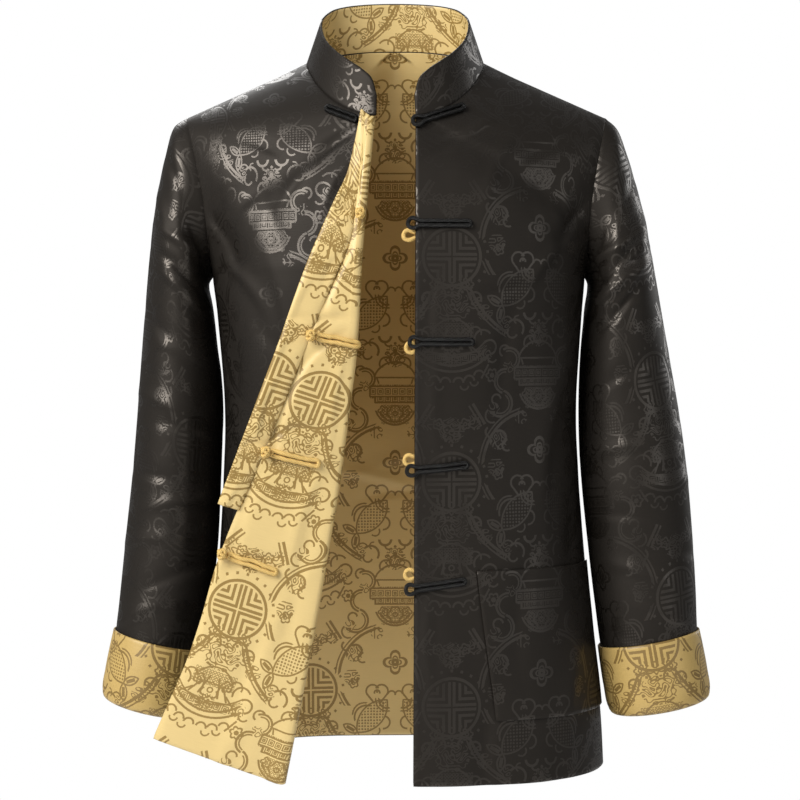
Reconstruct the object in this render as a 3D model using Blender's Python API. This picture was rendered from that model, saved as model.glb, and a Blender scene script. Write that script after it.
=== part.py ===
"""A reversible jacket with a stand collar, in the shape that it has when worn, with nobody inside.

Black brocade outside, gold brocade inside. The wearer's right front is turned back along a fold,
so its gold side shows, and so do the turned-back cuffs.

Tables are in millimetres. +X is to the viewer's right, which is the wearer's left, the front faces
-Y, and +Z is up. The origin is midway between the two points where a shoulder seam meets the
collar: that is where the shoulders carry the jacket.
"""

import math
from collections import namedtuple

import bmesh
import bpy
import numpy as np
from mathutils import Vector
from mathutils.bvhtree import BVHTree

MM = 0.001

# Cloth
WALL = 2.0
SEAM_GAP = 0.3
ROUNDNESS = 2.4
TINY = 1e-6

# Grid steps
ARM_STEP = 15
HALF_TURN = 180
FRONT_COLUMNS = 12
BACK_COLUMNS = 20
LOWER_ROWS = 11
FLAP_COLUMNS = 5
FOLD_COLUMNS = 6
SLEEVE_ROWS = 13
COLLAR_ROWS = 4
UNDERLAP_COLUMNS = 3

# The jacket hangs a little to the viewer's right below the chest: how far its middle lies over
Lean = namedtuple("Lean", "z over")
LEANS = [Lean(-722, 9), Lean(-300, 5), Lean(0, 0)]

# Armhole: shoulder point, underarm point and how far it bows
SHOULDER_X = 216.0
SHOULDER_Z = -55.0
UNDERARM_X = 192.3
UNDERARM_Z = -219.0
ARMHOLE_BOW = 6.0
ARMHOLE_FRONT = 53.0
ARMHOLE_BACK = 50.0

# How far the edges of the armhole face outward at the shoulder
SHOULDER_OUTWARD = 0.35

# Seam between body and collar, and the collar's free edge above it, from the front end to the
# middle of the back
Neck = namedtuple("Neck", "x y z top_x top_y top_z")
NECK_FRONT = [
    Neck(20.5, -95, -59, 19.5, -90, -39),
    Neck(28, -93.5, -58.5, 25, -86, -21),
    Neck(43, -87.5, -54, 38, -79, -9.5),
    Neck(61, -75, -44, 54, -66, 2),
    Neck(78, -51, -27, 69, -43, 17),
    Neck(88, -24, -10, 75.5, -20, 32),
    Neck(92, 0, 0, 77, -4, 43),
]
NECK_BACK = [
    Neck(92, 0, 0, 77, -4, 43),
    Neck(84, 33, 9, 70, 27, 57),
    Neck(61, 53, 15, 52, 45, 64.5),
    Neck(32, 62, 19, 27, 54, 68),
    Neck(0, 65, 20, 0, 57, 69),
]
FRONT_CORNER = 105
BACK_CORNER = 90

# Middle of the front and of the back below the collar, at angles round the armhole
Middle = namedtuple("Middle", "angle y z")
FRONT_MIDDLE = [
    Middle(105, -95, -59),
    Middle(120, -113, -97),
    Middle(135, -125, -138),
    Middle(150, -132, -175),
    Middle(165, -135, -203),
    Middle(180, -135.6, -219),
]
BACK_MIDDLE = [
    Middle(90, 65, 20),
    Middle(105, 92, -25),
    Middle(120, 108, -75),
    Middle(135, 116, -125),
    Middle(150, 119, -170),
    Middle(165, 120, -203),
    Middle(180, 120, -219),
]

# The left front's free edge hangs straight, a little nearer the middle at the hem
EDGE_AT_NECK = 20.5
EDGE_AT_HEM = 18.0

# How far a panel swells between its middle and the armhole
Swell = namedtuple("Swell", "angle front back")
SWELLS = [
    Swell(0, 0, 0),
    Swell(30, 0, 4),
    Swell(60, 0, 14),
    Swell(75, 2, 24),
    Swell(90, 6, 28),
    Swell(105, 9, 20),
    Swell(120, 7, 11),
    Swell(135, 4, 5),
    Swell(150, 1, 2),
    Swell(180, 0, 0),
]

# Level sections of the body below the underarm
Section = namedtuple("Section", "z half_width front back")
SECTIONS = [
    Section(-219, 192.3, 136, 120),
    Section(-280, 186.5, 135, 113),
    Section(-350, 182.2, 131, 106),
    Section(-400, 183.1, 130, 106),
    Section(-493, 188.7, 133, 116),
    Section(-588, 197.3, 137, 125),
    Section(-660, 205, 140, 129),
    Section(-722, 208, 142, 131),
]

# The turned-back front: the fold line and the sewn front edge, which lies free at the far side
Turned = namedtuple("Turned", "fold_x fold_z edge_x edge_y edge_z")
TURNED = [
    Turned(-20.5, -59, -29, -102, -58),
    Turned(-26, -115, -34, -122, -113),
    Turned(-29.8, -159, -38, -136, -157),
    Turned(-32.5, -190, -44, -141, -187),
    Turned(-34.4, -236, -62.5, -144, -229),
    Turned(-37.5, -291, -82, -145, -277),
    Turned(-53.2, -412, -127.4, -144, -390),
    Turned(-70.3, -516, -170, -139, -486),
    Turned(-89.9, -624, -199.2, -132, -586),
    Turned(-109.5, -722, -239.5, -124, -678),
]
FOLD_RADIUS = 4.0

# Width of the underlap strip along the turned front's rows
Strip = namedtuple("Strip", "z width")
UNDERLAP = [
    Strip(-59, 5),
    Strip(-105, 15),
    Strip(-157, 26),
    Strip(-180, 30),
    Strip(-229, 29),
    Strip(-277, 26),
    Strip(-390, 23.5),
    Strip(-486, 18),
]

# Under the turned-back part the hem lifts in an arch, fading out upwards
HEM_ARCH = 17.0
HEM_ARCH_TOP = -560.0

# Rings of the sleeves: the point on the outer side, the point on the side of the body, how deep
# the ring is from front to back, and where its middle lies
Ring = namedtuple("Ring", "out_x out_z in_x in_z depth middle")
SLEEVE_LEFT = [
    Ring(229, -66, 199.5, -226, 56, -1),
    Ring(240, -94, 199.5, -236, 59, -1),
    Ring(251, -131, 197.5, -251, 61, -2),
    Ring(261, -178, 194.5, -275, 62, -3),
    Ring(270, -222, 192, -305, 62, -4),
    Ring(280, -280, 190.5, -342, 60, -6),
    Ring(290.5, -338, 190.5, -380, 58, -9),
    Ring(299, -395, 192.5, -422, 55, -12),
    Ring(306.5, -470, 198, -480, 52, -16),
    Ring(310.5, -535, 205.5, -545, 50, -19),
    Ring(312.5, -586, 213.5, -604, 48, -21),
    Ring(317, -634, 225.5, -651, 47, -23),
]
SLEEVE_RIGHT = [
    Ring(-228, -64, -193, -226, 56, -1),
    Ring(-237, -92, -193, -236, 59, -1),
    Ring(-244.5, -128, -192, -251, 61, -2),
    Ring(-251.5, -175, -190.5, -275, 62, -3),
    Ring(-256, -220, -187.5, -305, 62, -4),
    Ring(-261, -280, -182.5, -342, 60, -6),
    Ring(-265.5, -340, -181.5, -380, 58, -9),
    Ring(-269.5, -398, -182.5, -422, 55, -12),
    Ring(-277, -470, -186.5, -480, 52, -16),
    Ring(-283.5, -535, -193.5, -548, 50, -19),
    Ring(-288.5, -582, -200.5, -603, 48, -21),
    Ring(-294, -634, -208.5, -654, 47, -23),
]

# Turned-back cuffs: middle of the cloth, out from the sleeve and up from the sleeve's last ring
Cuff = namedtuple("Cuff", "out up")
CUFF_PATH = [
    Cuff(-1, -0.3),
    Cuff(-1, -12),
    Cuff(0.2, -16.6),
    Cuff(2.8, -18.4),
    Cuff(5.4, -16.6),
    Cuff(6.6, -12),
    Cuff(6, 10),
    Cuff(3.8, 34),
    Cuff(1.8, 51),
]

# Patch pocket, measured along the front from the side seam
POCKET_TOP = -511.0
POCKET_BOTTOM = -659.0
POCKET_SIDE = 28.0
POCKET_INNER = 190.0
POCKET_WALL = 1.4
POCKET_LIFT = POCKET_WALL + 4 * SEAM_GAP
POCKET_ROWS = 7
POCKET_COLUMNS = 8

# Largest soft folds, seen from the front: middle, half length, half width, height and the slope of
# the long way in degrees. The back has like ones.
Fold = namedtuple("Fold", "x z length width height slope")
FOLD_FADE = 2.0
FRONT_LEFT_FOLDS = [
    Fold(165, -150, 55, 16, 4, 62),
    Fold(120, -330, 90, 24, -3, 84),
    Fold(48, -650, 90, 20, 3, 88),
    Fold(140, -716, 30, 16, 3, 86),
    Fold(176, -300, 60, 14, 3, 70),
]
FRONT_RIGHT_FOLDS = [
    Fold(-160, -140, 60, 16, 4, -62),
    Fold(-85, -118, 40, 12, 3, 38),
    Fold(-165, -205, 45, 14, -3, -50),
    Fold(-140, -300, 70, 18, 2.5, -75),
]
BACK_FOLDS = [
    Fold(60, -300, 120, 26, -4, 84),
    Fold(-70, -320, 120, 26, -4, -82),
    Fold(165, -170, 60, 18, 4, 60),
    Fold(-165, -170, 60, 18, 4, -60),
    Fold(0, -430, 26, 18, -3, 0),
    Fold(95, -640, 90, 24, 4, 86),
    Fold(-90, -650, 90, 24, 4, -86),
]
SLEEVE_LEFT_FOLDS = [
    Fold(238, -182, 34, 14, 5, 38),
    Fold(234, -222, 36, 13, 4.5, 40),
    Fold(262, -330, 40, 20, -4, 25),
    Fold(255, -430, 44, 20, 4, 12),
    Fold(268, -540, 40, 18, 3.5, -15),
]
SLEEVE_RIGHT_FOLDS = [
    Fold(-222, -190, 34, 14, 4, -45),
    Fold(-224, -300, 40, 20, -3.5, -25),
    Fold(-228, -400, 40, 20, 4, -14),
    Fold(-238, -510, 40, 18, 3.5, 15),
]

# Seams that no fold may move: a panel's shoulder, and its armhole and side
HELD_SEAMS = (np.s_[0], np.s_[:, 0])

# Cord of the frogs: two runs side by side, with a ring at a loop's end
CORD_RADIUS = 2.1
CORD_HALF_SPACING = 2.3
CORD_SIDES = 6
LOOP_RADIUS = 4.9
LOOP_MOUTH = 0.5
LOOP_NECK = 3.0
LOOP_STEPS = 9
RUN_STEPS = 5
TURN_STEPS = 3
KNOT_RADIUS = 6.2
LIFT = CORD_RADIUS + 2.5 * SEAM_GAP
Frog = namedtuple("Frog", "x z end_x end_z")
BLACK_LOOPS = [
    Frog(22, -66, 66, -51.5),
    Frog(17.5, -168, 72, -168),
    Frog(19, -284, 74, -284),
    Frog(16.5, -411, 69, -406),
    Frog(15.5, -528, 67, -521),
]
GOLD_LOOPS = [
    Frog(13.5, -179, 50, -179),
    Frog(16, -290, 52, -288),
    Frog(14.5, -401, 50, -401),
    Frog(15, -514, 50, -514),
]
GOLD_KNOTS = [
    Frog(-35.5, -159, -30, -159),
    Frog(-82, -277, -39.5, -286),
    Frog(-127.4, -391, -77, -403),
    Frog(-170, -492, -119, -510),
]
NECK_CORD = Frog(-38, -64, -66, -53)

# Depths from which a path is dropped on a front: ahead of the jacket, and in its hollow. A point
# past the front's edge takes the height found this far inside it.
FRONT_OF_ALL = -400.0
INSIDE = -60.0
EDGE_INSET = 1.0

# Colours, as linear values
BLACK = (0.012, 0.010, 0.009)
GOLD = (0.62, 0.46, 0.18)
OCHRE = (0.48, 0.33, 0.11)


def material(name, colour, roughness):
    made = bpy.data.materials.new(name)
    made.use_nodes = True
    shader = made.node_tree.nodes["Principled BSDF"]
    shader.inputs["Base Color"].default_value = (*colour, 1)
    shader.inputs["Roughness"].default_value = roughness
    shader.inputs["Metallic"].default_value = 0
    return made


def curve_through(rows, count):
    """Points of a smooth Catmull-Rom curve through a table's rows, as many as asked."""
    table = np.array(rows, float)
    ends = np.vstack([2 * table[0] - table[1], table, 2 * table[-1] - table[-2]])
    at = np.linspace(0, len(table) - 1, count)
    first = np.minimum(at.astype(int), len(table) - 2)
    t = (at - first)[:, None]
    p0, p1, p2, p3 = (ends[first + k] for k in range(4))
    return p1 + 0.5 * t * (p2 - p0 + t * (2 * p0 - 5 * p1 + 4 * p2 - p3 + t * (3 * (p1 - p2) + p3 - p0)))


def table_at(rows, key, values):
    """A table's other columns at values of the named one, along straight lines between its rows."""
    table = np.array(rows, float)
    order = np.argsort(table[:, rows[0]._fields.index(key)])
    table = table[order]
    keys = table[:, rows[0]._fields.index(key)]
    return np.stack([np.interp(values, keys, column) for column in table.T], axis=-1)


def lean_at(z):
    return np.interp(z, [row.z for row in LEANS], [row.over for row in LEANS])


def lean(points):
    moved = np.array(points, float)
    moved[..., 0] += lean_at(moved[..., 2])
    return moved


def front_edge(z):
    """The left front's edge at a height, before the lean."""
    share = (z - NECK_FRONT[0].z) / (SECTIONS[-1].z - NECK_FRONT[0].z)
    return EDGE_AT_NECK + (EDGE_AT_HEM - EDGE_AT_NECK) * share - lean_at(z) + lean_at(NECK_FRONT[0].z)


def unit(vectors):
    return vectors / np.maximum(np.linalg.norm(vectors, axis=-1, keepdims=True), TINY)


def grid_normals(points, wrap=False):
    """Unit normals of a grid of rows and columns: along the rows crossed with down the columns."""
    down = np.gradient(points, axis=0)
    if wrap:
        along = np.roll(points, -1, axis=1) - np.roll(points, 1, axis=1)
    else:
        along = np.gradient(points, axis=1)
    return unit(np.cross(along, down))


def folded(points, outward, folds, facing, held=()):
    """Moves cloth out or in at each fold, on the side that faces the given way along Y.

    The rows or columns named in held, as slices of the grid, stay where they are.
    """
    lift = np.zeros(points.shape[:2])
    for fold in folds:
        slope = math.radians(fold.slope)
        across = points[..., [0, 2]] - [fold.x, fold.z]
        along = across @ [math.cos(slope), math.sin(slope)]
        aside = across @ [-math.sin(slope), math.cos(slope)]
        lift += fold.height * np.exp(-((along / fold.length) ** 2) - (aside / fold.width) ** 2)
    lift *= np.clip(outward[..., 1] * facing * FOLD_FADE, 0, 1)
    for part in held:
        lift[part] = 0
    return points + outward * lift[..., None]


def mesh_object(name, vertices, faces, look):
    mesh = bpy.data.meshes.new(name)
    mesh.from_pydata([tuple(v) for v in np.asarray(vertices) * MM], [], [list(map(int, f)) for f in faces])
    body = bmesh.new()
    body.from_mesh(mesh)
    if body.calc_volume(signed=True) < 0:
        bmesh.ops.reverse_faces(body, faces=body.faces)
    for face in body.faces:
        face.smooth = True
    body.to_mesh(mesh)
    body.free()
    mesh.materials.append(look)
    made = bpy.data.objects.new(name, mesh)
    bpy.context.scene.collection.objects.link(made)
    return made


def cloth(name, points, outward, look, wall=WALL, wrap=False, keep=None, joined=None):
    """A wall of cloth: the outer grid, the same grid moved in by the wall, and the edges between.

    keep says which cells there are, and joined gives rows, a column and the column that it is one
    with there.
    """
    rows, columns = points.shape[:2]
    cells = columns if wrap else columns - 1
    if keep is None:
        keep = np.ones((rows - 1, cells), bool)
    index = np.arange(rows * columns).reshape(rows, columns)
    if joined is not None:
        joined_rows, column, other = joined
        index[joined_rows, column] = index[joined_rows, other]
    quads = []
    for i in range(rows - 1):
        for j in range(cells):
            if keep[i, j]:
                k = (j + 1) % columns
                quads.append((index[i, j], index[i, k], index[i + 1, k], index[i + 1, j]))
    edges = [edge for quad in quads for edge in zip(quad, quad[1:] + quad[:1])]
    inner = rows * columns
    known = set(edges)
    faces = list(quads)
    faces += [tuple(corner + inner for corner in reversed(quad)) for quad in quads]
    faces += [(b, a, a + inner, b + inner) for a, b in edges if (b, a) not in known]
    vertices = np.vstack([points.reshape(-1, 3), (points - outward * wall).reshape(-1, 3)])
    used = sorted({corner for face in faces for corner in face})
    place = {corner: number for number, corner in enumerate(used)}
    faces = [tuple(place[corner] for corner in face) for face in faces]
    return mesh_object(name, vertices[used], faces, look)


def armhole(angles, side):
    """Points of the right-hand armhole at angles from the shoulder to the underarm."""
    turn = np.radians(angles)
    share = (1 - np.cos(turn)) / 2
    x = SHOULDER_X + (UNDERARM_X - SHOULDER_X) * share - ARMHOLE_BOW * np.sin(math.pi * share)
    depth = -ARMHOLE_FRONT if side == "front" else ARMHOLE_BACK
    z = SHOULDER_Z + (UNDERARM_Z - SHOULDER_Z) * share
    return np.stack([x, depth * np.sin(turn), z], axis=-1)


def neck_points(side):
    """Seam points and free-edge points of half the collar, from the shoulder to the middle."""
    rows = NECK_FRONT[::-1] if side == "front" else NECK_BACK
    corner = FRONT_CORNER if side == "front" else BACK_CORNER
    curve = curve_through(rows, corner // ARM_STEP + 1)
    return curve[:, :3], curve[:, 3:]


def body_rows(side):
    """Each row of half a panel as its outer end, its middle end and its swell, from the shoulder
    down."""
    angles = np.arange(0, HALF_TURN + 1, ARM_STEP)
    corner = FRONT_CORNER if side == "front" else BACK_CORNER
    below = angles[angles > corner]
    middle = table_at(FRONT_MIDDLE if side == "front" else BACK_MIDDLE, "angle", below)[:, 1:]
    x = front_edge(middle[:, 1]) if side == "front" else 0 * middle[:, 1]
    inner = np.vstack([neck_points(side)[0], np.column_stack([x, middle])])
    swell = table_at(SWELLS, "angle", angles)[:, 1 if side == "front" else 2]
    rows = list(zip(armhole(angles, side), inner, swell))
    for section in curve_through(SECTIONS, LOWER_ROWS + 1)[1:]:
        z, half_width = section[:2]
        depth = -section[2] if side == "front" else section[3]
        x = front_edge(z) if side == "front" else 0.0
        y = depth * (1 - (x / half_width) ** ROUNDNESS) ** (1 / ROUNDNESS)
        rows.append((np.array([half_width, 0, z]), np.array([x, y, z]), 0.0))
    return rows


def across(row, end_x, count):
    """Points along one row, from its outer end to where x is end_x, on a rounded section."""
    outer, middle, swell = row
    if abs(middle[1]) < SEAM_GAP:
        return outer + (middle - outer) * np.linspace(0, 1, count)[:, None]
    sign = -1 if middle[1] < 0 else 1
    reach = np.abs(np.array([outer, middle])[:, :2]) ** ROUNDNESS
    wide, deep = np.linalg.solve(reach, np.ones(2)) ** (-1 / ROUNDNESS)
    ends = [math.acos(min(1.0, (x / wide) ** (ROUNDNESS / 2))) for x in (outer[0], max(end_x, 0))]
    turn = np.linspace(*ends, count)
    x = wide * np.cos(turn) ** (2 / ROUNDNESS)
    share = (outer[0] - x) / (outer[0] - middle[0])
    bulge = swell * np.sin(math.pi * np.clip(share, 0, 1)) ** 2
    y = sign * (deep * np.sin(turn) ** (2 / ROUNDNESS) + bulge)
    return np.stack([x, y, outer[2] + (middle[2] - outer[2]) * share], axis=-1)


def panel_grid(side):
    """Half a panel, on the viewer's right, and its outward directions, before the lean."""
    rows = body_rows(side)
    columns = FRONT_COLUMNS if side == "front" else BACK_COLUMNS // 2
    points = np.array([across(row, row[1][0], columns + 1) for row in rows])
    return points, panel_outward(points, side)


def armhole_outward(angles, side):
    """Direction that the panel's and the sleeve's edges share, so that their walls meet cleanly."""
    turn = np.radians(angles)
    sign = -1 if side == "front" else 1
    outward = np.stack([SHOULDER_OUTWARD * np.cos(turn / 2), sign * np.sin(turn), np.cos(turn)], axis=-1)
    return unit(outward)


def panel_outward(points, side):
    outward = grid_normals(points)
    if side == "front":
        outward *= np.sign(-outward[len(outward) // 2, -1, 1])
    else:
        outward *= np.sign(outward[len(outward) // 2, -1, 1])
    outward[0, :, 1] = 0
    pit = HALF_TURN // ARM_STEP
    outward[pit:, 0, 1] = 0
    angles = np.arange(ARM_STEP, HALF_TURN, ARM_STEP)
    outward[1:pit, 0] = armhole_outward(angles, side)
    return unit(outward)


def seam_inset(points, side):
    """Moves a panel's edges back by half the seam's gap, away from its neighbours."""
    moved = points.copy()
    sign = -1 if side == "front" else 1
    pit = HALF_TURN // ARM_STEP
    moved[0, :, 1] += sign * SEAM_GAP / 2
    moved[pit:, 0, 1] += sign * SEAM_GAP / 2
    return moved


def mirrored(grid):
    return grid * np.array([-1, 1, 1])


def make_back(look):
    """Both halves of the back, one below the collar and parted above it by the neck."""
    half, outward = panel_grid("back")
    outward[:, -1, 0] = np.where(half[:, -1, 0] == 0, 0, outward[:, -1, 0])
    half = seam_inset(half, "back")
    points = lean(np.hstack([half, mirrored(half)[:, ::-1]]))
    outward = unit(np.hstack([outward, mirrored(outward)[:, ::-1]]))
    corner = BACK_CORNER // ARM_STEP
    middle = half.shape[1] - 1
    neck = (np.s_[:corner + 1, middle], np.s_[:corner + 1, middle + 1], np.s_[:, -1])
    points = folded(points, outward, BACK_FOLDS, 1, HELD_SEAMS + neck)
    keep = np.ones((len(points) - 1, points.shape[1] - 1), bool)
    keep[:, middle] = False
    return cloth("back", points, outward, look, keep=keep, joined=(slice(corner, None), middle + 1, middle))


def make_front_left(look):
    points, outward = panel_grid("front")
    points = lean(seam_inset(points, "front"))
    neck = (np.s_[:FRONT_CORNER // ARM_STEP + 1, -1],)
    points = folded(points, outward, FRONT_LEFT_FOLDS, -1, HELD_SEAMS + neck)
    return cloth("front_left", points, outward, look), points, outward


def turned_rows(rows):
    """The turned front's fold and edge at each row of the panel that reaches it."""
    first = FRONT_CORNER // ARM_STEP
    heights = np.array([row[1][2] for row in rows[first:]])
    return first, table_at(TURNED, "fold_z", heights)


def make_front_right(look):
    """The body part, the fold round its front, and the turned-back part that lies over it."""
    rows = body_rows("front")
    first, turned = turned_rows(rows)
    body_columns = FRONT_COLUMNS
    arch = HEM_ARCH * np.sin(np.linspace(0, math.pi, body_columns + 1))
    grid = []
    for number, row in enumerate(rows):
        if number < first:
            body = mirrored(across(row, row[1][0], body_columns + 1))
            beyond = body[-1] + np.outer(np.arange(1, FOLD_COLUMNS + FLAP_COLUMNS + 1), [1.0, 0, 0])
            grid.append(np.vstack([lean(body), lean(beyond)]))
            continue
        fold_x, fold_z, edge_x, edge_y, edge_z = turned[number - first]
        end_x = -(fold_x - FOLD_RADIUS) + lean_at(fold_z)
        body = lean(mirrored(across(row, end_x, body_columns + 1)))
        body[:, 2] += arch * np.interp(fold_z, [SECTIONS[-1].z, HEM_ARCH_TOP], [1, 0])
        turn = np.linspace(0, math.pi, FOLD_COLUMNS + 1)[1:]
        radius = FOLD_RADIUS - WALL / 2
        centre = body[-1] + [0, -radius, 0]
        fold = centre + np.stack([radius * np.sin(turn), radius * np.cos(turn), 0 * turn], axis=-1)
        share = np.linspace(0, 1, FLAP_COLUMNS + 1)[1:, None]
        edge = np.array([edge_x, edge_y + WALL, edge_z])
        flap = fold[-1] + (edge - fold[-1]) * share
        grid.append(np.vstack([body, fold, flap]))
    points = np.array(grid)
    outward = grid_normals(points)
    outward *= np.sign(-outward[len(rows) // 2, body_columns // 2, 1])
    pit = HALF_TURN // ARM_STEP
    outward[0, :, 1] = 0
    outward[pit:, 0, 1] = 0
    angles = np.arange(ARM_STEP, HALF_TURN, ARM_STEP)
    outward[1:pit, 0] = mirrored(armhole_outward(angles, "front"))
    outward = unit(outward)
    points = seam_inset(points, "front")
    turned_part = np.s_[:, body_columns:]
    neck = np.s_[:first + 1, body_columns]
    points = folded(points, outward, FRONT_RIGHT_FOLDS, -1, HELD_SEAMS + (turned_part, neck))
    keep = np.ones((len(rows) - 1, points.shape[1] - 1), bool)
    keep[:first, body_columns:] = False
    return cloth("front_right", points, outward, look, keep=keep), points, outward, first


def make_underlap(points, outward, first, look):
    """The strip beyond the turned front's edge, in line with its rows."""
    edge = points[first:, -1]
    along = unit(points[first:, -1] - points[first:, -1 - FLAP_COLUMNS])
    bottom = UNDERLAP[-1].z
    count = int(np.sum(edge[:, 2] >= bottom - ARM_STEP))
    edge, along, outward = edge[:count], along[:count], outward[first:first + count, -1]
    width = table_at(UNDERLAP, "z", edge[:, 2])[:, 1:]
    share = np.linspace(0, 1, UNDERLAP_COLUMNS + 1)
    grid = edge[:, None] + along[:, None] * (2 * SEAM_GAP + width[:, None] * share[None, :, None])
    return cloth("underlap", grid, np.repeat(outward[:, None], len(share), axis=1), look)


def make_collar(look):
    sides = zip(neck_points("front"), neck_points("back"))
    base, top = (np.vstack([front[::-1], back[1:]]) for front, back in sides)
    upward = unit(top - base)
    share = np.linspace(0, 1, COLLAR_ROWS + 1)[:, None, None]
    half = base + upward * SEAM_GAP + (top - base - upward * SEAM_GAP) * share
    points = np.hstack([half, mirrored(half)[:, -2::-1]])
    outward = grid_normals(points)
    outward *= np.sign(outward[0, points.shape[1] // 2, 1])
    outward[0, :, 2] = 0
    return cloth("collar", lean(points), unit(outward), look)


def ring_points(ring, angles, out=0.0):
    """Points round a sleeve's ring, from its outer side to the front and on round."""
    out_x, out_z, in_x, in_z, depth, middle = ring
    outer, inner = np.array([out_x, middle, out_z]), np.array([in_x, middle, in_z])
    half = (outer - inner) / 2
    half *= 1 + out / np.linalg.norm(half)
    turn = np.radians(angles)
    ahead = np.array([0, -(depth + out), 0])
    return (outer + inner) / 2 + np.outer(np.cos(turn), half) + np.outer(np.sin(turn), ahead)


def make_sleeve(name, rings, side, folds, look):
    angles = np.arange(0, 2 * HALF_TURN, ARM_STEP)
    half = np.arange(0, HALF_TURN + 1, ARM_STEP)
    loop = np.vstack([armhole(half, "front"), armhole(half, "back")[-2:0:-1]])
    loop_out = np.vstack([armhole_outward(half, "front"), armhole_outward(half, "back")[-2:0:-1]])
    mirror = np.array([side, 1, 1])
    loop = lean(loop * mirror) + [side * SEAM_GAP, 0, 0]
    grid = [loop] + [ring_points(ring, angles) for ring in curve_through(rings, SLEEVE_ROWS)]
    points = np.array(grid)
    outward = grid_normals(points, wrap=True)
    outward *= np.sign(outward[SLEEVE_ROWS // 2, 0, 0]) * side
    outward[0] = loop_out * mirror
    for facing in (-1, 1):
        points = folded(points, outward, folds, facing, (np.s_[0], np.s_[-2:]))
    return cloth(name, points, unit(outward), look, wrap=True)


def make_cuff(name, rings, look):
    """The cuff: up inside to the sleeve's end, round the bottom and back up outside."""
    angles = np.arange(0, 2 * HALF_TURN, ARM_STEP)
    last, before = np.array(rings[-1], float), np.array(rings[-2], float)
    length = before[1] - last[1]
    grid = []
    for step in CUFF_PATH:
        ring = last + (before - last) * step.up / length
        grid.append(ring_points(ring, angles, step.out))
    points = np.array(grid)
    outward = grid_normals(points, wrap=True)
    outward *= np.sign(outward[-1, 0, 0]) * np.sign(rings[0].out_x)
    return cloth(name, points + outward * WALL / 2, outward, look, wrap=True)


def make_pocket(points, outward, look):
    """A patch lying on the left front: its grid is the panel's own, moved out."""
    rows = np.linspace(POCKET_TOP, POCKET_BOTTOM, POCKET_ROWS + 1)
    along = np.linspace(POCKET_SIDE, POCKET_INNER, POCKET_COLUMNS + 1)
    lower = slice(HALF_TURN // ARM_STEP, None)
    level = points[lower, 0, 2]
    grid, directions = [], []
    for z in rows:
        above = np.searchsorted(-level, -z, side="right") - 1
        above = min(above, len(level) - 2)
        share = (level[above] - z) / (level[above] - level[above + 1])
        line = points[lower][above] * (1 - share) + points[lower][above + 1] * share
        out = outward[lower][above] * (1 - share) + outward[lower][above + 1] * share
        walked = np.concatenate([[0], np.cumsum(np.linalg.norm(np.diff(line, axis=0), axis=1))])
        grid.append(np.stack([np.interp(along, walked, column) for column in line.T], axis=-1))
        directions.append(np.stack([np.interp(along, walked, column) for column in out.T], axis=-1))
    directions = unit(np.array(directions))
    raised = np.array(grid) + directions * POCKET_LIFT
    return cloth("pocket", raised, directions, look, wall=POCKET_WALL)


def tube(path, radius):
    """Rings of a cord along a closed path, as vertices and faces."""
    ahead = unit(np.roll(path, -1, axis=0) - np.roll(path, 1, axis=0))
    side = unit(np.cross(ahead, np.array([0.0, 1.0, 0.0])))
    up = np.cross(side, ahead)
    turn = np.arange(CORD_SIDES) * 2 * math.pi / CORD_SIDES
    rings = path[:, None] + radius * (
        side[:, None] * np.cos(turn)[None, :, None] + up[:, None] * np.sin(turn)[None, :, None]
    )
    count = len(path)
    faces = []
    for i in range(count):
        for j in range(CORD_SIDES):
            k = (j + 1) % CORD_SIDES
            n = (i + 1) % count
            faces.append((i * CORD_SIDES + j, n * CORD_SIDES + j, n * CORD_SIDES + k, i * CORD_SIDES + k))
    return rings.reshape(-1, 3), faces


def runs_of_cord(start, length):
    """Two runs of cord seen flat, as distances along and across, and the turn that joins them at
    the far end."""
    straight = np.linspace(start, length, RUN_STEPS)
    aside = np.full(RUN_STEPS, CORD_HALF_SPACING)
    turn = np.linspace(-math.pi / 2, math.pi / 2, TURN_STEPS + 2)[1:-1]
    rounded = CORD_HALF_SPACING * np.stack([np.cos(turn), np.sin(turn)], axis=-1)
    lower = np.stack([straight, -aside], axis=-1)
    upper = np.stack([straight[::-1], aside], axis=-1)
    return lower, rounded + [length, 0], upper, rounded


def hairpin(length):
    """A doubled cord seen flat, with a ring at its near end."""
    start = math.asin(CORD_HALF_SPACING / LOOP_RADIUS) + LOOP_MOUTH
    turn = np.linspace(start, 2 * math.pi - start, LOOP_STEPS)
    ring = LOOP_RADIUS * np.stack([np.cos(turn), np.sin(turn)], axis=-1)
    lower, far, upper, _ = runs_of_cord(LOOP_RADIUS + LOOP_NECK, length)
    return np.vstack([ring, lower, far, upper])


def stadium(start, length):
    """A doubled cord seen flat, with a turn at each end."""
    lower, far, upper, rounded = runs_of_cord(start + CORD_HALF_SPACING, length)
    near = [start + CORD_HALF_SPACING, 0] - rounded
    return np.vstack([lower, far, upper, near])


def laid_on(tree, flat, frog, lift, toward, limit_x):
    """Lays a flat path on a panel: each point is dropped on it along Y and lifted off its face.

    Where the path runs past the panel's edge, it keeps the height that it has at the edge.
    """
    start = np.array([frog.x, frog.z], float)
    end = np.array([frog.end_x, frog.end_z], float)
    along = (end - start) / np.linalg.norm(end - start)
    aside = np.array([-along[1], along[0]])
    placed = []
    for distance, offset in flat:
        x, z = start + along * distance + aside * offset
        cast_x = max(x, limit_x)
        origin = Vector((cast_x, FRONT_OF_ALL if toward > 0 else INSIDE, z))
        hit, normal, _, _ = tree.ray_cast(origin, Vector((0, toward, 0)))
        if hit is None:
            hit, normal, _, _ = tree.find_nearest(Vector((cast_x, NECK_FRONT[0].y, z)))
        normal *= -math.copysign(1, normal.y * toward)
        placed.append(np.array(hit) + np.array(normal) * lift + [x - cast_x, 0, 0])
    return np.array(placed)


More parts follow.
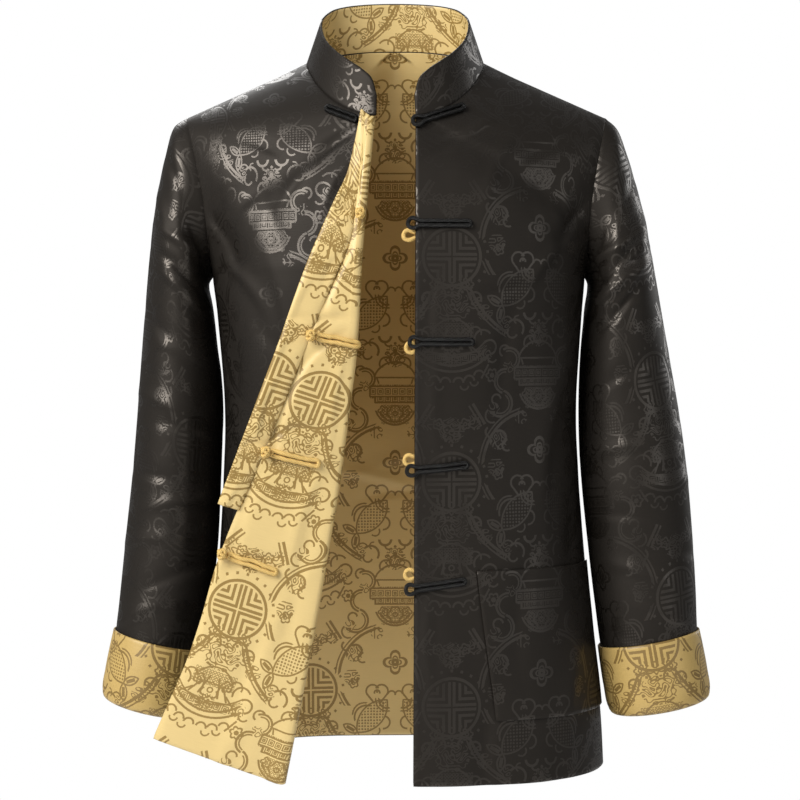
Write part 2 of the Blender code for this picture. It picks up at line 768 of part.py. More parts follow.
def tree_of(body):
    corners = [v.co / MM for v in body.data.vertices]
    return BVHTree.FromPolygons(corners, [tuple(face.vertices) for face in body.data.polygons])


def make_loop(name, tree, frog, look, toward=1):
    length = math.hypot(frog.end_x - frog.x, frog.end_z - frog.z)
    edge = front_edge(frog.z) + lean_at(frog.z) + EDGE_INSET
    path = laid_on(tree, hairpin(length), frog, LIFT, toward, edge)
    vertices, faces = tube(path, CORD_RADIUS)
    return mesh_object(name, vertices, faces, look)


def make_cord(name, tree, frog, start, limit_x, look):
    """A doubled cord on a panel, from a distance off its knot to its far end."""
    length = math.hypot(frog.end_x - frog.x, frog.end_z - frog.z)
    path = laid_on(tree, stadium(start, length), frog, LIFT, 1, limit_x)
    vertices, faces = tube(path, CORD_RADIUS)
    mesh_object(name, vertices, faces, look)


def make_knot(number, tree, frog, look):
    """A ball knot at the turned front's edge, and the doubled cord that runs from it."""
    limit_x = frog.x + KNOT_RADIUS / 2
    start = KNOT_RADIUS + SEAM_GAP + CORD_RADIUS
    # The first knot sits on the fold, and its cord runs round it out of sight
    if frog.end_x - frog.x > start:
        make_cord(f"cord_gold_{number}", tree, frog, start, limit_x, look)
    seat = laid_on(tree, [(0, 0)], frog, KNOT_RADIUS + 2 * SEAM_GAP, 1, limit_x)[0]
    body = bmesh.new()
    bmesh.ops.create_icosphere(body, subdivisions=2, radius=KNOT_RADIUS)
    vertices = [vertex.co[:] for vertex in body.verts]
    faces = [[vertex.index for vertex in face.verts] for face in body.faces]
    body.free()
    mesh_object(f"knot_gold_{number}", np.array(vertices) + seat, faces, look)


def main():
    for old in list(bpy.data.objects):
        bpy.data.objects.remove(old)
    black = material("black_brocade", BLACK, 0.45)
    gold = material("gold_brocade", GOLD, 0.4)
    ochre = material("ochre_brocade", OCHRE, 0.4)
    black_cord = material("black_cord", BLACK, 0.5)
    gold_cord = material("gold_cord", GOLD, 0.45)

    make_back(black)
    left, left_points, left_outward = make_front_left(black)
    right, points, outward, first = make_front_right(gold)
    make_underlap(points, outward, first, gold)
    make_collar(black)
    make_sleeve("sleeve_left", SLEEVE_LEFT, 1, SLEEVE_LEFT_FOLDS, black)
    make_sleeve("sleeve_right", SLEEVE_RIGHT, -1, SLEEVE_RIGHT_FOLDS, black)
    make_cuff("cuff_left", SLEEVE_LEFT, ochre)
    make_cuff("cuff_right", SLEEVE_RIGHT, ochre)
    make_pocket(left_points, left_outward, black)

    left_tree, right_tree = tree_of(left), tree_of(right)
    for number, frog in enumerate(BLACK_LOOPS, 1):
        make_loop(f"loop_black_{number}", left_tree, frog, black_cord)
    for number, frog in enumerate(GOLD_LOOPS, 1):
        make_loop(f"loop_gold_{number}", left_tree, frog, gold_cord, toward=-1)
    for number, frog in enumerate(GOLD_KNOTS, 1):
        make_knot(number, right_tree, frog, gold_cord)
    make_cord("cord_black_1", right_tree, NECK_CORD, 0.0, NECK_CORD.end_x - KNOT_RADIUS, black_cord)


main()
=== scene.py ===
"""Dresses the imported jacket: fine cloth shells on the solids' own forms, brocade, cords and knots.

Tables are in millimetres. +X is to the viewer's right, which is the wearer's left, the front faces
-Y, and +Z is up. The origin is midway between the two points where a shoulder seam meets the
collar: that is where the shoulders carry the jacket.
"""

import math
from collections import namedtuple

import bmesh
import bpy
import numpy as np
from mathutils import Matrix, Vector
from mathutils.bvhtree import BVHTree


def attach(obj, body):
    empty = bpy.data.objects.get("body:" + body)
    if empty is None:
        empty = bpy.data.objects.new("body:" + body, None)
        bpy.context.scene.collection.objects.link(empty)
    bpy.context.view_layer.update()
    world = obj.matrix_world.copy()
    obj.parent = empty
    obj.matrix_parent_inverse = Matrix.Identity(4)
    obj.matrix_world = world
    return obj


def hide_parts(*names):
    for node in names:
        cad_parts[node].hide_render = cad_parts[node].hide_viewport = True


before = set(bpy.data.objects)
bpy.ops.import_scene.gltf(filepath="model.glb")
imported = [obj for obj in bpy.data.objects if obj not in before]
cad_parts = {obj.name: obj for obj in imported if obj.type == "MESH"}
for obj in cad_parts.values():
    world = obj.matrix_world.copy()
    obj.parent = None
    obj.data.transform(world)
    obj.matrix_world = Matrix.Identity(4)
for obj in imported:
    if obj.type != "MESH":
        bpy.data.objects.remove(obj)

MM = 0.001


def rows_of(kind, *rows):
    """A table's rows under their columns' names."""
    return [kind(*row) for row in rows]


# Cloth
WALL = 2.0
SEAM_GAP = 0.3
ROUNDNESS = 2.4
TINY = 1e-6

# Grid steps
ARM_STEP = 15
HALF_TURN = 180
FRONT_COLUMNS = 12
BACK_COLUMNS = 10
LOWER_ROWS = 11
FLAP_COLUMNS = 5
FOLD_COLUMNS = 6
SLEEVE_ROWS = 13
COLLAR_ROWS = 4
UNDERLAP_COLUMNS = 3

# The jacket hangs a little to the viewer's right below the chest: how far its middle lies over
Lean = namedtuple("Lean", "z over")
LEANS = [Lean(-722, 9), Lean(-300, 5), Lean(0, 0)]

# Armhole: shoulder point, underarm point and how far it bows
SHOULDER_X = 216.0
SHOULDER_Z = -55.0
UNDERARM_X = 192.3
UNDERARM_Z = -219.0
ARMHOLE_BOW = 6.0
ARMHOLE_FRONT = 53.0
ARMHOLE_BACK = 50.0

# How far the edges of the armhole face outward at the shoulder
SHOULDER_OUTWARD = 0.35

# Seam between body and collar, and the collar's free edge above it, from the front end to the
# middle of the back
Neck = namedtuple("Neck", "x y z top_x top_y top_z")
NECK_FRONT = rows_of(
    Neck,
    (20.5, -95, -59, 19.5, -90, -39), (28, -93.5, -58.5, 25, -86, -21), (43, -87.5, -54, 38, -79, -9.5),
    (61, -75, -44, 54, -66, 2), (78, -51, -27, 69, -43, 17), (88, -24, -10, 75.5, -20, 32),
    (92, 0, 0, 77, -4, 43),
)
NECK_BACK = rows_of(
    Neck,
    (92, 0, 0, 77, -4, 43), (84, 33, 9, 70, 27, 57), (61, 53, 15, 52, 45, 64.5), (32, 62, 19, 27, 54, 68),
    (0, 65, 20, 0, 57, 69),
)

# Middle of the front and of the back below the collar, at angles round the armhole
Middle = namedtuple("Middle", "angle y z")
FRONT_MIDDLE = rows_of(
    Middle,
    (105, -95, -59), (120, -113, -97), (135, -125, -138), (150, -132, -175), (165, -135, -203),
    (180, -135.6, -219),
)
BACK_MIDDLE = rows_of(
    Middle,
    (90, 65, 20), (105, 92, -25), (120, 108, -75), (135, 116, -125), (150, 119, -170), (165, 120, -203),
    (180, 120, -219),
)

# The left front's free edge hangs straight, a little nearer the middle at the hem
EDGE_AT_NECK = 20.5
EDGE_AT_HEM = 18.0

# How far a panel swells between its middle and the armhole
Swell = namedtuple("Swell", "angle front back")
SWELLS = rows_of(
    Swell,
    (0, 0, 0), (30, 0, 4), (60, 0, 14), (75, 2, 24), (90, 6, 28), (105, 9, 20), (120, 7, 11), (135, 4, 5),
    (150, 1, 2), (180, 0, 0),
)

# Level sections of the body below the underarm
Section = namedtuple("Section", "z half_width front back")
SECTIONS = rows_of(
    Section,
    (-219, 192.3, 136, 120), (-280, 186.5, 135, 113), (-350, 182.2, 131, 106), (-400, 183.1, 130, 106),
    (-493, 188.7, 133, 116), (-588, 197.3, 137, 125), (-660, 205, 140, 129), (-722, 208, 142, 131),
)

# The turned-back front: the fold line and the sewn front edge, which lies free at the far side
Turned = namedtuple("Turned", "fold_x fold_z edge_x edge_y edge_z")
TURNED = rows_of(
    Turned,
    (-20.5, -59, -29, -102, -58), (-26, -115, -34, -122, -113), (-29.8, -159, -38, -136, -157),
    (-32.5, -190, -44, -141, -187), (-34.4, -236, -62.5, -144, -229), (-37.5, -291, -82, -145, -277),
    (-53.2, -412, -127.4, -144, -390), (-70.3, -516, -170, -139, -486), (-89.9, -624, -199.2, -132, -586),
    (-109.5, -722, -239.5, -124, -678),
)
FOLD_RADIUS = 4.0

# Width of the underlap strip along the turned front's rows
Strip = namedtuple("Strip", "z width")
UNDERLAP = rows_of(
    Strip,
    (-59, 5), (-105, 15), (-157, 26), (-180, 30), (-229, 29), (-277, 26), (-390, 23.5), (-486, 18),
)

# The strip also takes rows of the front that lie this far below its table's last row
UNDERLAP_SLACK = 15.0

# Under the turned-back part the hem lifts in an arch, fading out upwards
HEM_ARCH = 17.0
HEM_ARCH_TOP = -560.0

# Rings of the sleeves: the point on the outer side, the point on the side of the body, how deep
# the ring is from front to back, and where its middle lies
Ring = namedtuple("Ring", "out_x out_z in_x in_z depth middle")
SLEEVE_LEFT = rows_of(
    Ring,
    (229, -66, 199.5, -226, 56, -1), (240, -94, 199.5, -236, 59, -1), (251, -131, 197.5, -251, 61, -2),
    (261, -178, 194.5, -275, 62, -3), (270, -222, 192, -305, 62, -4), (280, -280, 190.5, -342, 60, -6),
    (290.5, -338, 190.5, -380, 58, -9), (299, -395, 192.5, -422, 55, -12),
    (306.5, -470, 198, -480, 52, -16), (310.5, -535, 205.5, -545, 50, -19),
    (312.5, -586, 213.5, -604, 48, -21), (317, -634, 225.5, -651, 47, -23),
)
SLEEVE_RIGHT = rows_of(
    Ring,
    (-228, -64, -193, -226, 56, -1), (-237, -92, -193, -236, 59, -1), (-244.5, -128, -189.5, -251, 61, -2),
    (-251.5, -175, -186.5, -275, 62, -3), (-256, -220, -183, -305, 62, -4),
    (-261, -280, -178.5, -342, 60, -6), (-265.5, -340, -179, -380, 58, -9),
    (-269.5, -398, -180.5, -422, 55, -12), (-277, -470, -182.5, -480, 52, -16),
    (-283.5, -535, -189, -548, 50, -19), (-288.5, -582, -198, -603, 48, -21),
    (-294, -634, -208.5, -654, 47, -23),
)

# Turned-back cuffs: middle of the cloth, out from the sleeve and up from the sleeve's last ring
Cuff = namedtuple("Cuff", "out up")
CUFF_PATH = rows_of(
    Cuff,
    (-1, -0.3), (-1, -12), (0.2, -16.6), (2.8, -18.4), (5.4, -16.6), (6.6, -12), (6, 10), (3.8, 34),
    (1.8, 51),
)

# Patch pocket, measured along the front from the side seam
POCKET_TOP = -511.0
POCKET_BOTTOM = -659.0
POCKET_SIDE = 28.0
POCKET_INNER = 190.0
POCKET_WALL = 1.4
POCKET_LIFT = POCKET_WALL + 4 * SEAM_GAP

# Largest soft folds, seen from the front: middle, half length, half width, height and the slope of
# the long way in degrees. The back has like ones.
Fold = namedtuple("Fold", "x z length width height slope")
FOLD_FADE = 2.0
FRONT_LEFT_FOLDS = rows_of(
    Fold,
    (165, -150, 55, 16, 4, 62), (120, -330, 90, 24, -3, 84), (48, -650, 90, 20, 3, 88),
    (140, -716, 30, 16, 3, 86), (176, -300, 60, 14, 3, 70),
)
FRONT_RIGHT_FOLDS = rows_of(
    Fold,
    (-160, -140, 60, 16, 4, -62), (-85, -118, 40, 12, 3, 38), (-165, -205, 45, 14, -3, -50),
    (-140, -300, 70, 18, 2.5, -75),
)
BACK_FOLDS = rows_of(
    Fold,
    (60, -300, 120, 26, -4, 84), (-70, -320, 120, 26, -4, -82), (165, -170, 60, 18, 4, 60),
    (-165, -170, 60, 18, 4, -60), (0, -430, 26, 18, -3, 0), (95, -640, 90, 24, 4, 86),
    (-90, -650, 90, 24, 4, -86),
)
SLEEVE_LEFT_FOLDS = rows_of(
    Fold,
    (238, -182, 34, 14, 5, 38), (234, -222, 36, 13, 4.5, 40), (262, -330, 40, 20, -4, 25),
    (255, -430, 44, 20, 4, 12), (268, -540, 40, 18, 3.5, -15),
)
SLEEVE_RIGHT_FOLDS = rows_of(
    Fold,
    (-222, -190, 34, 14, 4, -45), (-224, -300, 40, 20, -3.5, -25), (-228, -400, 40, 20, 4, -14),
    (-238, -510, 40, 18, 3.5, 15),
)

# Seams that no fold may move: a panel's shoulder, and its armhole and side
HELD_SEAMS = (np.s_[0], np.s_[:, 0])

# Cord of the frogs: two runs side by side, with a ring at a loop's end
CORD_RADIUS = 2.1
CORD_HALF_SPACING = 2.3
LOOP_RADIUS = 4.9
LOOP_MOUTH = 0.5
LOOP_NECK = 3.0
LOOP_STEPS = 9
RUN_STEPS = 5
TURN_STEPS = 3
KNOT_RADIUS = 6.2
LIFT = CORD_RADIUS + 2.5 * SEAM_GAP
Frog = namedtuple("Frog", "x z end_x end_z")
BLACK_LOOPS = rows_of(
    Frog,
    (22, -66, 66, -51.5), (17.5, -168, 72, -168), (19, -284, 74, -284), (16.5, -411, 69, -406),
    (15.5, -528, 67, -521),
)
GOLD_LOOPS = rows_of(
    Frog,
    (13.5, -179, 50, -179), (16, -290, 52, -288), (14.5, -401, 50, -401), (15, -514, 50, -514),
)
GOLD_KNOTS = rows_of(
    Frog,
    (-35.5, -159, -30, -159), (-82, -277, -39.5, -286), (-127.4, -391, -77, -403), (-170, -492, -119, -510),
)
NECK_CORD = Frog(-38, -64, -66, -53)

# Depths from which a path is dropped on a front: ahead of the jacket, and in its hollow. A point
# past the front's edge takes the height found this far inside it.
FRONT_OF_ALL = -400.0
INSIDE = -60.0
EDGE_INSET = 1.0

# Fineness of the cloth's mesh, and how far its edges bulge as a share of the wall
CELL = 3.6
CUFF_CELL = 3.0
EDGE_BULGE = 0.5

# Sewn edges roll in: how deep, and from how far. A sleeve has an allowance inside its seam.
SEAM_ROLL = 1.0
SEAM_ROLL_WIDTH = 3.2
ALLOWANCE = 2.0
ALLOWANCE_DEPTH = 1.0

# Flat sizes are rounded up to the next millimetre
HALF_MM = 0.0005

# Reach over which a fine crease fades out beside a seam
SEAM_FADE = 14.0

# Fine creases, seen from the front or, on the back, from behind: troughs are below 0. Each bows a
# little and is steeper on one side.
CREASE_BOW = 0.12
CREASE_STEEP = 0.55
FRONT_LEFT_CREASES = rows_of(
    Fold,
    (176, -168, 26, 7, -3, 58), (150, -205, 34, 8, 2.4, 48), (98, -120, 40, 9, 1.6, 72),
    (60, -84, 26, 7, -2.2, 20), (84, -70, 22, 6, 1.6, 30), (150, -92, 30, 8, -1.9, 24),
    (110, -290, 70, 12, -2.2, 80), (150, -400, 70, 12, 2.4, 84), (60, -470, 80, 14, -1.6, 88),
    (40, -330, 60, 9, 1.4, 86), (122, -560, 60, 12, -2, 85), (176, -640, 60, 11, 2.4, 82),
    (90, -690, 50, 12, -2.7, 88), (32, -580, 50, 8, 1.6, 90), (34, -250, 40, 8, -1.4, 84),
    (182, -470, 60, 10, -2.4, 80), (70, -395, 36, 6, 1.2, 12), (100, -236, 34, 7, -1.4, 15),
)
FRONT_RIGHT_CREASES = rows_of(
    Fold,
    (-70, -96, 34, 7, -3.5, 42), (-92, -120, 36, 7, 2.7, 50), (-60, -128, 26, 6, 2.2, 62),
    (-172, -180, 30, 8, -3.2, -56), (-150, -224, 34, 8, 2.7, -48), (-120, -170, 40, 9, -1.6, -72),
    (-178, -262, 40, 9, -2.2, -66), (-160, -360, 60, 12, 2.2, -82), (-130, -90, 26, 7, -1.9, -24),
    (-110, -250, 50, 10, 1.6, -80), (-100, -320, 44, 8, -1.9, -64), (-140, -430, 60, 11, -1.9, -84),
    (-46, -150, 26, 6, -1.9, 80),
)
BACK_CREASES = rows_of(
    Fold,
    (174, -180, 34, 8, -3, 60), (-174, -176, 34, 8, -3, -60), (140, -214, 44, 9, 2.5, 46),
    (-138, -220, 44, 9, 2.5, -44), (40, -60, 46, 8, -2, 16), (-44, -58, 46, 8, -2, -18),
    (0, -36, 30, 6, 1.5, 2), (110, -330, 80, 12, 2.2, 82), (-116, -340, 80, 12, 2.2, -80),
    (30, -410, 50, 8, -2, 8), (-34, -432, 50, 8, -2.2, -10), (6, -452, 44, 7, 1.8, 4),
    (60, -560, 80, 13, -2.2, 86), (-54, -590, 80, 13, -2.2, -87), (150, -560, 70, 12, 2.5, 84),
    (-150, -540, 70, 12, 2.5, -84), (20, -660, 60, 12, 2.2, 89), (-130, -680, 50, 11, -2.5, -86),
    (120, -690, 50, 11, -2.5, 86), (160, -400, 50, 9, -2, 78), (-162, -410, 50, 9, -2, -78),
)
SLEEVE_LEFT_CREASES = rows_of(
    Fold,
    (232, -186, 22, 3.6, 2.6, 38), (236, -196, 22, 3.4, -2.4, 40), (232, -206, 24, 3.6, 2.8, 41),
    (230, -224, 26, 3.6, 2.4, 44), (238, -240, 24, 4, -2.4, 48), (246, -216, 20, 4, 2.2, 50),
    (214, -196, 30, 6, 3.9, 36), (222, -214, 34, 5.5, -3.4, 38), (216, -236, 34, 6, 3.6, 42),
    (224, -256, 30, 6, -2.9, 46), (262, -150, 30, 7, 2.3, 66), (246, -120, 26, 6, -2.3, 60),
    (276, -300, 34, 9, 1.4, 34), (232, -318, 34, 8, -1.9, 26), (270, -372, 36, 9, -1.7, 18),
    (230, -392, 34, 8, 1.9, 12), (280, -430, 34, 8, 1.6, 8), (246, -462, 38, 8, -1.7, -6),
    (292, -500, 30, 8, -1.4, -14), (250, -520, 34, 8, 1.6, -20), (284, -566, 34, 9, 1.6, -24),
    (250, -590, 30, 7, -1.4, -16), (296, -612, 24, 7, -1.3, -10),
)
SLEEVE_RIGHT_CREASES = rows_of(
    Fold,
    (-214, -186, 30, 6, 3.9, -38), (-218, -212, 34, 6, -3.4, -42), (-212, -236, 32, 6, 3.1, -46),
    (-240, -146, 30, 7, 2.3, -66), (-226, -112, 26, 6, -2.3, -60), (-250, -262, 36, 9, -2.1, -40),
    (-206, -300, 34, 8, 2.3, -28), (-246, -344, 38, 9, 2.3, -20), (-208, -372, 34, 8, -2.5, -14),
    (-252, -420, 34, 8, -2.3, -8), (-216, -448, 36, 8, 2.3, 4), (-262, -488, 30, 8, 1.8, 14),
    (-222, -522, 36, 8, -2.1, 18), (-262, -562, 32, 9, 2.1, 24), (-230, -596, 30, 7, -1.8, 16),
)
TURNED_CREASES = rows_of(
    Fold,
    (-56, -212, 44, 8, -3.2, 66), (-102, -330, 56, 8, -3.0, 67), (-148, -446, 56, 9, -2.8, 68),
    (-66, -262, 30, 4, -2.6, 4), (-52, -300, 22, 5, 1.6, -14), (-72, -290, 24, 4, -2.0, 40),
    (-104, -372, 30, 4, -2.6, 10), (-84, -400, 36, 6, 1.6, -20), (-118, -384, 22, 4, -2.2, 80),
    (-92, -455, 54, 8, 2.2, 72), (-140, -500, 30, 4, -2.4, 12), (-160, -492, 22, 4, -2.0, 74),
    (-118, -566, 54, 9, 2.4, 64), (-150, -620, 64, 11, -2.6, 68), (-186, -600, 40, 6, 2.0, 62),
    (-166, -690, 50, 9, 2.6, 66), (-128, -700, 50, 9, -2.2, 74), (-60, -340, 54, 8, 1.8, 80),
    (-96, -520, 60, 8, -1.8, 76), (-36, -190, 26, 4, 1.6, 76), (-76, -246, 14, 3, 1.8, 74),
)
UNDERLAP_CREASES = rows_of(
    Fold,
    (-50, -156, 16, 3.2, -2.4, 6), (-56, -168, 16, 3.2, 2.2, 34), (-50, -138, 14, 3, 2.0, 40),
    (-44, -120, 16, 3, -1.8, 62), (-52, -104, 16, 3, 1.8, 50), (-62, -212, 22, 4, -2.2, 60),
    (-100, -262, 22, 4, -2.2, 8), (-92, -236, 22, 4, 1.8, 62), (-112, -290, 24, 4, 1.6, 64),
    (-146, -386, 20, 4, -3.0, 12), (-128, -340, 34, 5, 1.8, 66), (-134, -366, 12, 3, 2.4, 82),
    (-168, -448, 34, 5, 2.0, 66), (-190, -500, 20, 4, -1.8, 20),
)

# Where the pattern's repeat lies on each piece, across and up
FRONT_LEFT_SHIFT = (-150.0, 93.0)
FRONT_RIGHT_SHIFT = (126.0, 159.0)
TURNED_SHIFT = (61.5, 243.0)
UNDERLAP_SHIFT = (70.0, 240.0)
BACK_SHIFT = (0.0, 120.0)
COLLAR_SHIFT = (30.0, 30.0)
SLEEVE_LEFT_SHIFT = (40.0, 20.0)
SLEEVE_RIGHT_SHIFT = (20.0, 75.0)
CUFF_SHIFT = (10.0, -110.0)

# Braided cord, and the ball knot: strands, how deep they lie and how they wind
CORD_STEP = 0.9
CORD_FACETS = 14
STRANDS = 3
STRAND_PITCH = 9.0
STRAND_DEPTH = 0.22
# Mean height of a strand, steps between two points of a path, and the fewest rings of a cord
STRAND_MEAN = 0.6
PATH_STEPS = 12
LEAST_RINGS = 24
KNOT_CORD = 1.6
KNOT_CORD_STEP = 0.8
KNOT_STEPS = 240
KNOT_REACH = 0.98
KNOT_BIGHTS = 4
KNOT_TURNS = 3
KNOT_WEAVE = 0.85
CORE_FINENESS = 3
# A cord ends this far inside its knot
KNOT_OVERLAP = 3.0

# Brocade: a mirrored repeat, in millimetres. A stroke that is an arc has its middle, radius and
# width, the way that its kept part faces and how much is cut off (-1 keeps it whole). A bar has
# its middle, half length and width and the way that it runs.
PATTERN_HALF = 93.5
PATTERN_RISE = 222.0
PATTERN_BASE = -125.0
Arc = namedtuple("Arc", "x y radius width facing cut")
Bar = namedtuple("Bar", "x y half_length width facing")
Disc = namedtuple("Disc", "x y radius")
Rosette = namedtuple("Rosette", "x y petals radius depth width")
ARCS = rows_of(
    Arc,
    # Large double arcs round the flower and round the carp
    (8, -92, 54, 2.2, 40, 0.8), (8, -92, 58, 1.2, 40, 0.8), (8, -92, 54, 2.2, -50, 0.86),
    (8, -92, 58, 1.2, -50, 0.86), (0, 112, 80, 2.2, -42, 0.93), (0, 112, 84, 1.2, -42, 0.93),
    # Leaves like a tulip under the pair of carp
    (11, 60, 6.5, 2.0, -90, 0), (7, 53, 4, 1.4, -60, 0.1),
    # Curls on both sides over the vase
    (27, 44, 9, 1.8, 130, 0.1), (30, 40, 5, 1.5, -60, -0.2), (36, 50, 6, 1.3, 90, 0.3),
    (24, 53, 4, 1.2, 20, 0.1),
    # Scrolls beside the vase
    (33, 14, 11, 1.7, 150, -0.1), (33, 14, 8, 1.2, 150, 0.1), (38, 22, 5.5, 1.5, 40, -0.3),
    (37, -8, 12, 1.7, 10, 0.1), (37, -8, 9, 1.2, 10, 0.1), (43, -30, 13, 1.8, -150, -0.2),
    (43, -30, 10, 1.2, -150, 0.1), (47, -26, 5, 1.5, 60, -0.4), (52, -42, 7, 1.5, -30, 0.1),
    # Vase: crown, shoulders and bowl
    (0, 36, 6, 1.5, 90, 0.1), (10, 30, 7, 1.5, 60, 0.1), (6, 22, 9, 1.3, 90, 0.4),
    (0, 8, 24, 1.5, 60, 0.75), (0, -14, 22, 1.5, -90, 0.3), (0, -16, 17, 1.2, -90, 0.3),
    # Boat-shaped basket between the medallions
    (93.5, 52, 44, 1.7, -90, 0.62), (93.5, 52, 50, 1.7, -90, 0.66), (93.5, 60, 44, 1.2, -90, 0.62),
    (55, 26, 7, 1.6, 150, -0.3), (52, 16, 5, 1.4, -60, -0.1), (60, 12, 4, 1.3, 100, -0.2),
    (66, -2, 5, 1.5, 90, 0), (76, -7, 5, 1.5, 90, 0), (87, -9, 5, 1.5, 90, 0), (71, -8, 4, 1.3, -90, 0),
    (81, -12, 4, 1.3, -90, 0), (62, 34, 9, 1.5, 60, 0.1), (93.5, 34, 20, 1.3, 90, 0.5),
    (70, 40, 6, 1.3, 100, -0.2),
    # Clouds over the basket
    (70, 74, 6, 1.6, 100, -0.2), (80, 78, 7, 1.6, 80, 0), (90, 72, 5, 1.4, 20, -0.3),
    # Band of ribbon under the medallion's rim and beside the flower
    (44, -64, 7, 1.9, 150, 0), (54, -58, 5, 1.7, -30, 0), (36, -72, 5, 1.5, -40, 0.1),
)
BARS = rows_of(
    Bar,
    (12, 5.5, 16, 1.3, 0), (12, -5.5, 16, 1.3, 0), (27.5, 0, 5.5, 1.3, 90), (10, -12, 12, 1.3, 0),
    (22, -9, 3.6, 1.3, 90), (9, 15, 11, 1.3, 0), (19, 12, 4, 1.3, 70), (80, 20, 16, 1.3, -8),
    (78, 30, 9, 1.4, 60), (86, 34, 11, 1.4, 75), (71, 24, 7, 1.3, 40), (66, -40, 12, 2.2, 58),
    (70, -42, 12, 1.4, 58), (60, 2, 8, 1.5, -62),
)
DISCS = [Disc(0, 44, 2.4), Disc(8, 42, 1.6), Disc(0, 52, 1.6), Disc(52, -2, 2.0)]
ROSETTES = rows_of(
    Rosette,
    (0, -77, 4, 9.5, 5.5, 2.4), (0, -77, 4, 5, 3.2, 1.4), (52, -2, 6, 5.5, 2, 1.6),
    (0, -24, 5, 7.5, 2.6, 1.4), (13, -21, 5, 4.6, 1.6, 1.3), (93.5, 30, 5, 8, 3, 1.5),
    (79, 38, 5, 5, 1.8, 1.3), (93.5, 92, 5, 9, 4, 1.6), (78, 88, 6, 5, 2, 1.4),
    (46, -100, 5, 4.5, 1.6, 1.3), (93.5, -58, 5, 8, 3, 1.5), (80, -50, 5, 4.6, 1.6, 1.3),
)
# Strokes that lie across the end of the repeat, on a rise that starts lower
CROSSING_BASE = -200.0
CROSSING_ARCS = rows_of(
    Arc,
    # Medallion's rim
    (93.5, -107, 28.5, 2.2, 0, -1),
    # Heart above the carp
    (15, -109, 7, 1.5, 120, -0.1), (25, -109, 7, 1.5, 60, -0.1), (20, -111, 3, 1.4, 90, -0.3),
    # Carp: back, belly, gill and fins
    (11.6, -149.7, 30.8, 1.3, 42.5, 0.61), (39.4, -124.3, 30.8, 1.3, -137.5, 0.61),
    (9, -119, 9, 1.6, -47.5, 0.5), (9, -119, 12.5, 1.2, -47.5, 0.55), (4, -113, 4, 1.4, 100, 0),
    (32, -138, 13, 1.5, 46, 0.45), (34, -135, 13, 1.3, 50, 0.62), (13, -144, 7, 1.5, -170, 0.1),
    (22, -153, 5, 1.3, -130, 0.1),
    # Two lobes of the carp's tail
    (45.5, -143.8, 11.8, 1.3, -59, 0.66), (53.5, -157.2, 11.8, 1.3, 121, 0.66),
    (51.2, -162.1, 11.8, 1.3, 190, 0.66), (35.8, -164.9, 11.8, 1.3, 10, 0.66),
)
CROSSING_BARS = rows_of(
    Bar,
    (12.5, -117, 7, 1.5, -52), (27.5, -117, 7, 1.5, 52), (49.5, -150.5, 5, 2.6, 31),
    (43.5, -163.5, 5, 2.6, -80),
)
CROSSING_DISCS = [Disc(13.2, -122.5, 1.5), Disc(20, -110, 1.2)]
MEDALLION = (93.5, -107.0)
MEDALLION_RADIUS = 28.5
MEDALLION_DOTS = 22
MEDALLION_MARGIN = 3.4
FRET_STEP = 5.9
FRET_START = -0.14
FRET_SHARE = 0.5
ROSETTE_HEART = 0.32
# The ring of dots round the medallion: how far outside, and a dot's half size along and across
DOTS_OUTSIDE = 7.5
DOT_HALF_TURN = 0.13
DOT_HALF = 1.4
# The carp's body lies where two discs overlap, filled with dots
CARP_BODY = [(11.6, -149.7, 29.6), (39.4, -124.3, 29.6)]
SCALE_PITCH = 3.3
SCALE_UNEVEN = 0.15
SCALE_SIZE = 0.33
# Cells of a net and of square frets, and the rings drawn in them: how far out, and half how wide
NET_PITCH = 3.1
NET_UNEVEN = 0.12
NET_RING = (0.34, 0.13)
SQUARE_PITCH = 8.0
SQUARE_RINGS = ((0.36, 0.07), (0.12, 0.08))
FILLED = [
    ("fret", Bar(13, 0, 14, 11, 0)), ("fret", Bar(10, -9.5, 12, 5, 0)), ("fret", Bar(81, 15, 15, 7, -4)),
    ("net", Bar(3, -25, 12, 16, 0)), ("net", Bar(86, 42, 14, 12, 0)),
]
# Clusters of petals and leaves, filled with fine curling lines
CLUSTERS = rows_of(
    Disc,
    (0, 38, 12), (48, -93, 9), (60, 20, 8), (90, 66, 15), (72, 72, 9), (45, -66, 10), (40, 46, 8),
    (93.5, -56, 13), (70, -48, 8), (34, 6, 6), (50, -36, 7), (20, -44, 7), (60, 60, 8), (93.5, 16, 10),
)
CURL_SIZE = 0.14
CURL_TURNS = 5.0
CURL_HALF = 0.22
# Curls aren't mirrored: their own repeat starts here, between two clusters
CURL_EDGE = 27.5
# Every stroke is drawn this many times wider than its table says
BOLD = 1.35

# Threads: how far they wander, the fineness of a cord's threads, the stretch of the cloth's ribs, its
# clouds, and the strength and depth of the relief, in metres
THREAD_WANDER = 0.7
WANDER_SCALE = 0.9
THREAD_TURN = 3.4
RIBS = (0.07, 1.4, 0)
RIB_STRENGTH = 0.4
RIB_DEPTH = 0.00025
CLOUD_SCALE = 0.012
# Painted shade in a braid's valleys: the mean share of its colour and how far it swings. Then the braid's
# relief.
BRAID_PAINTED_SHADE_LEVEL = 0.78
BRAID_PAINTED_SHADE_SWING = 0.25
BRAID_STRENGTH = 0.6
BRAID_DEPTH = 0.0004

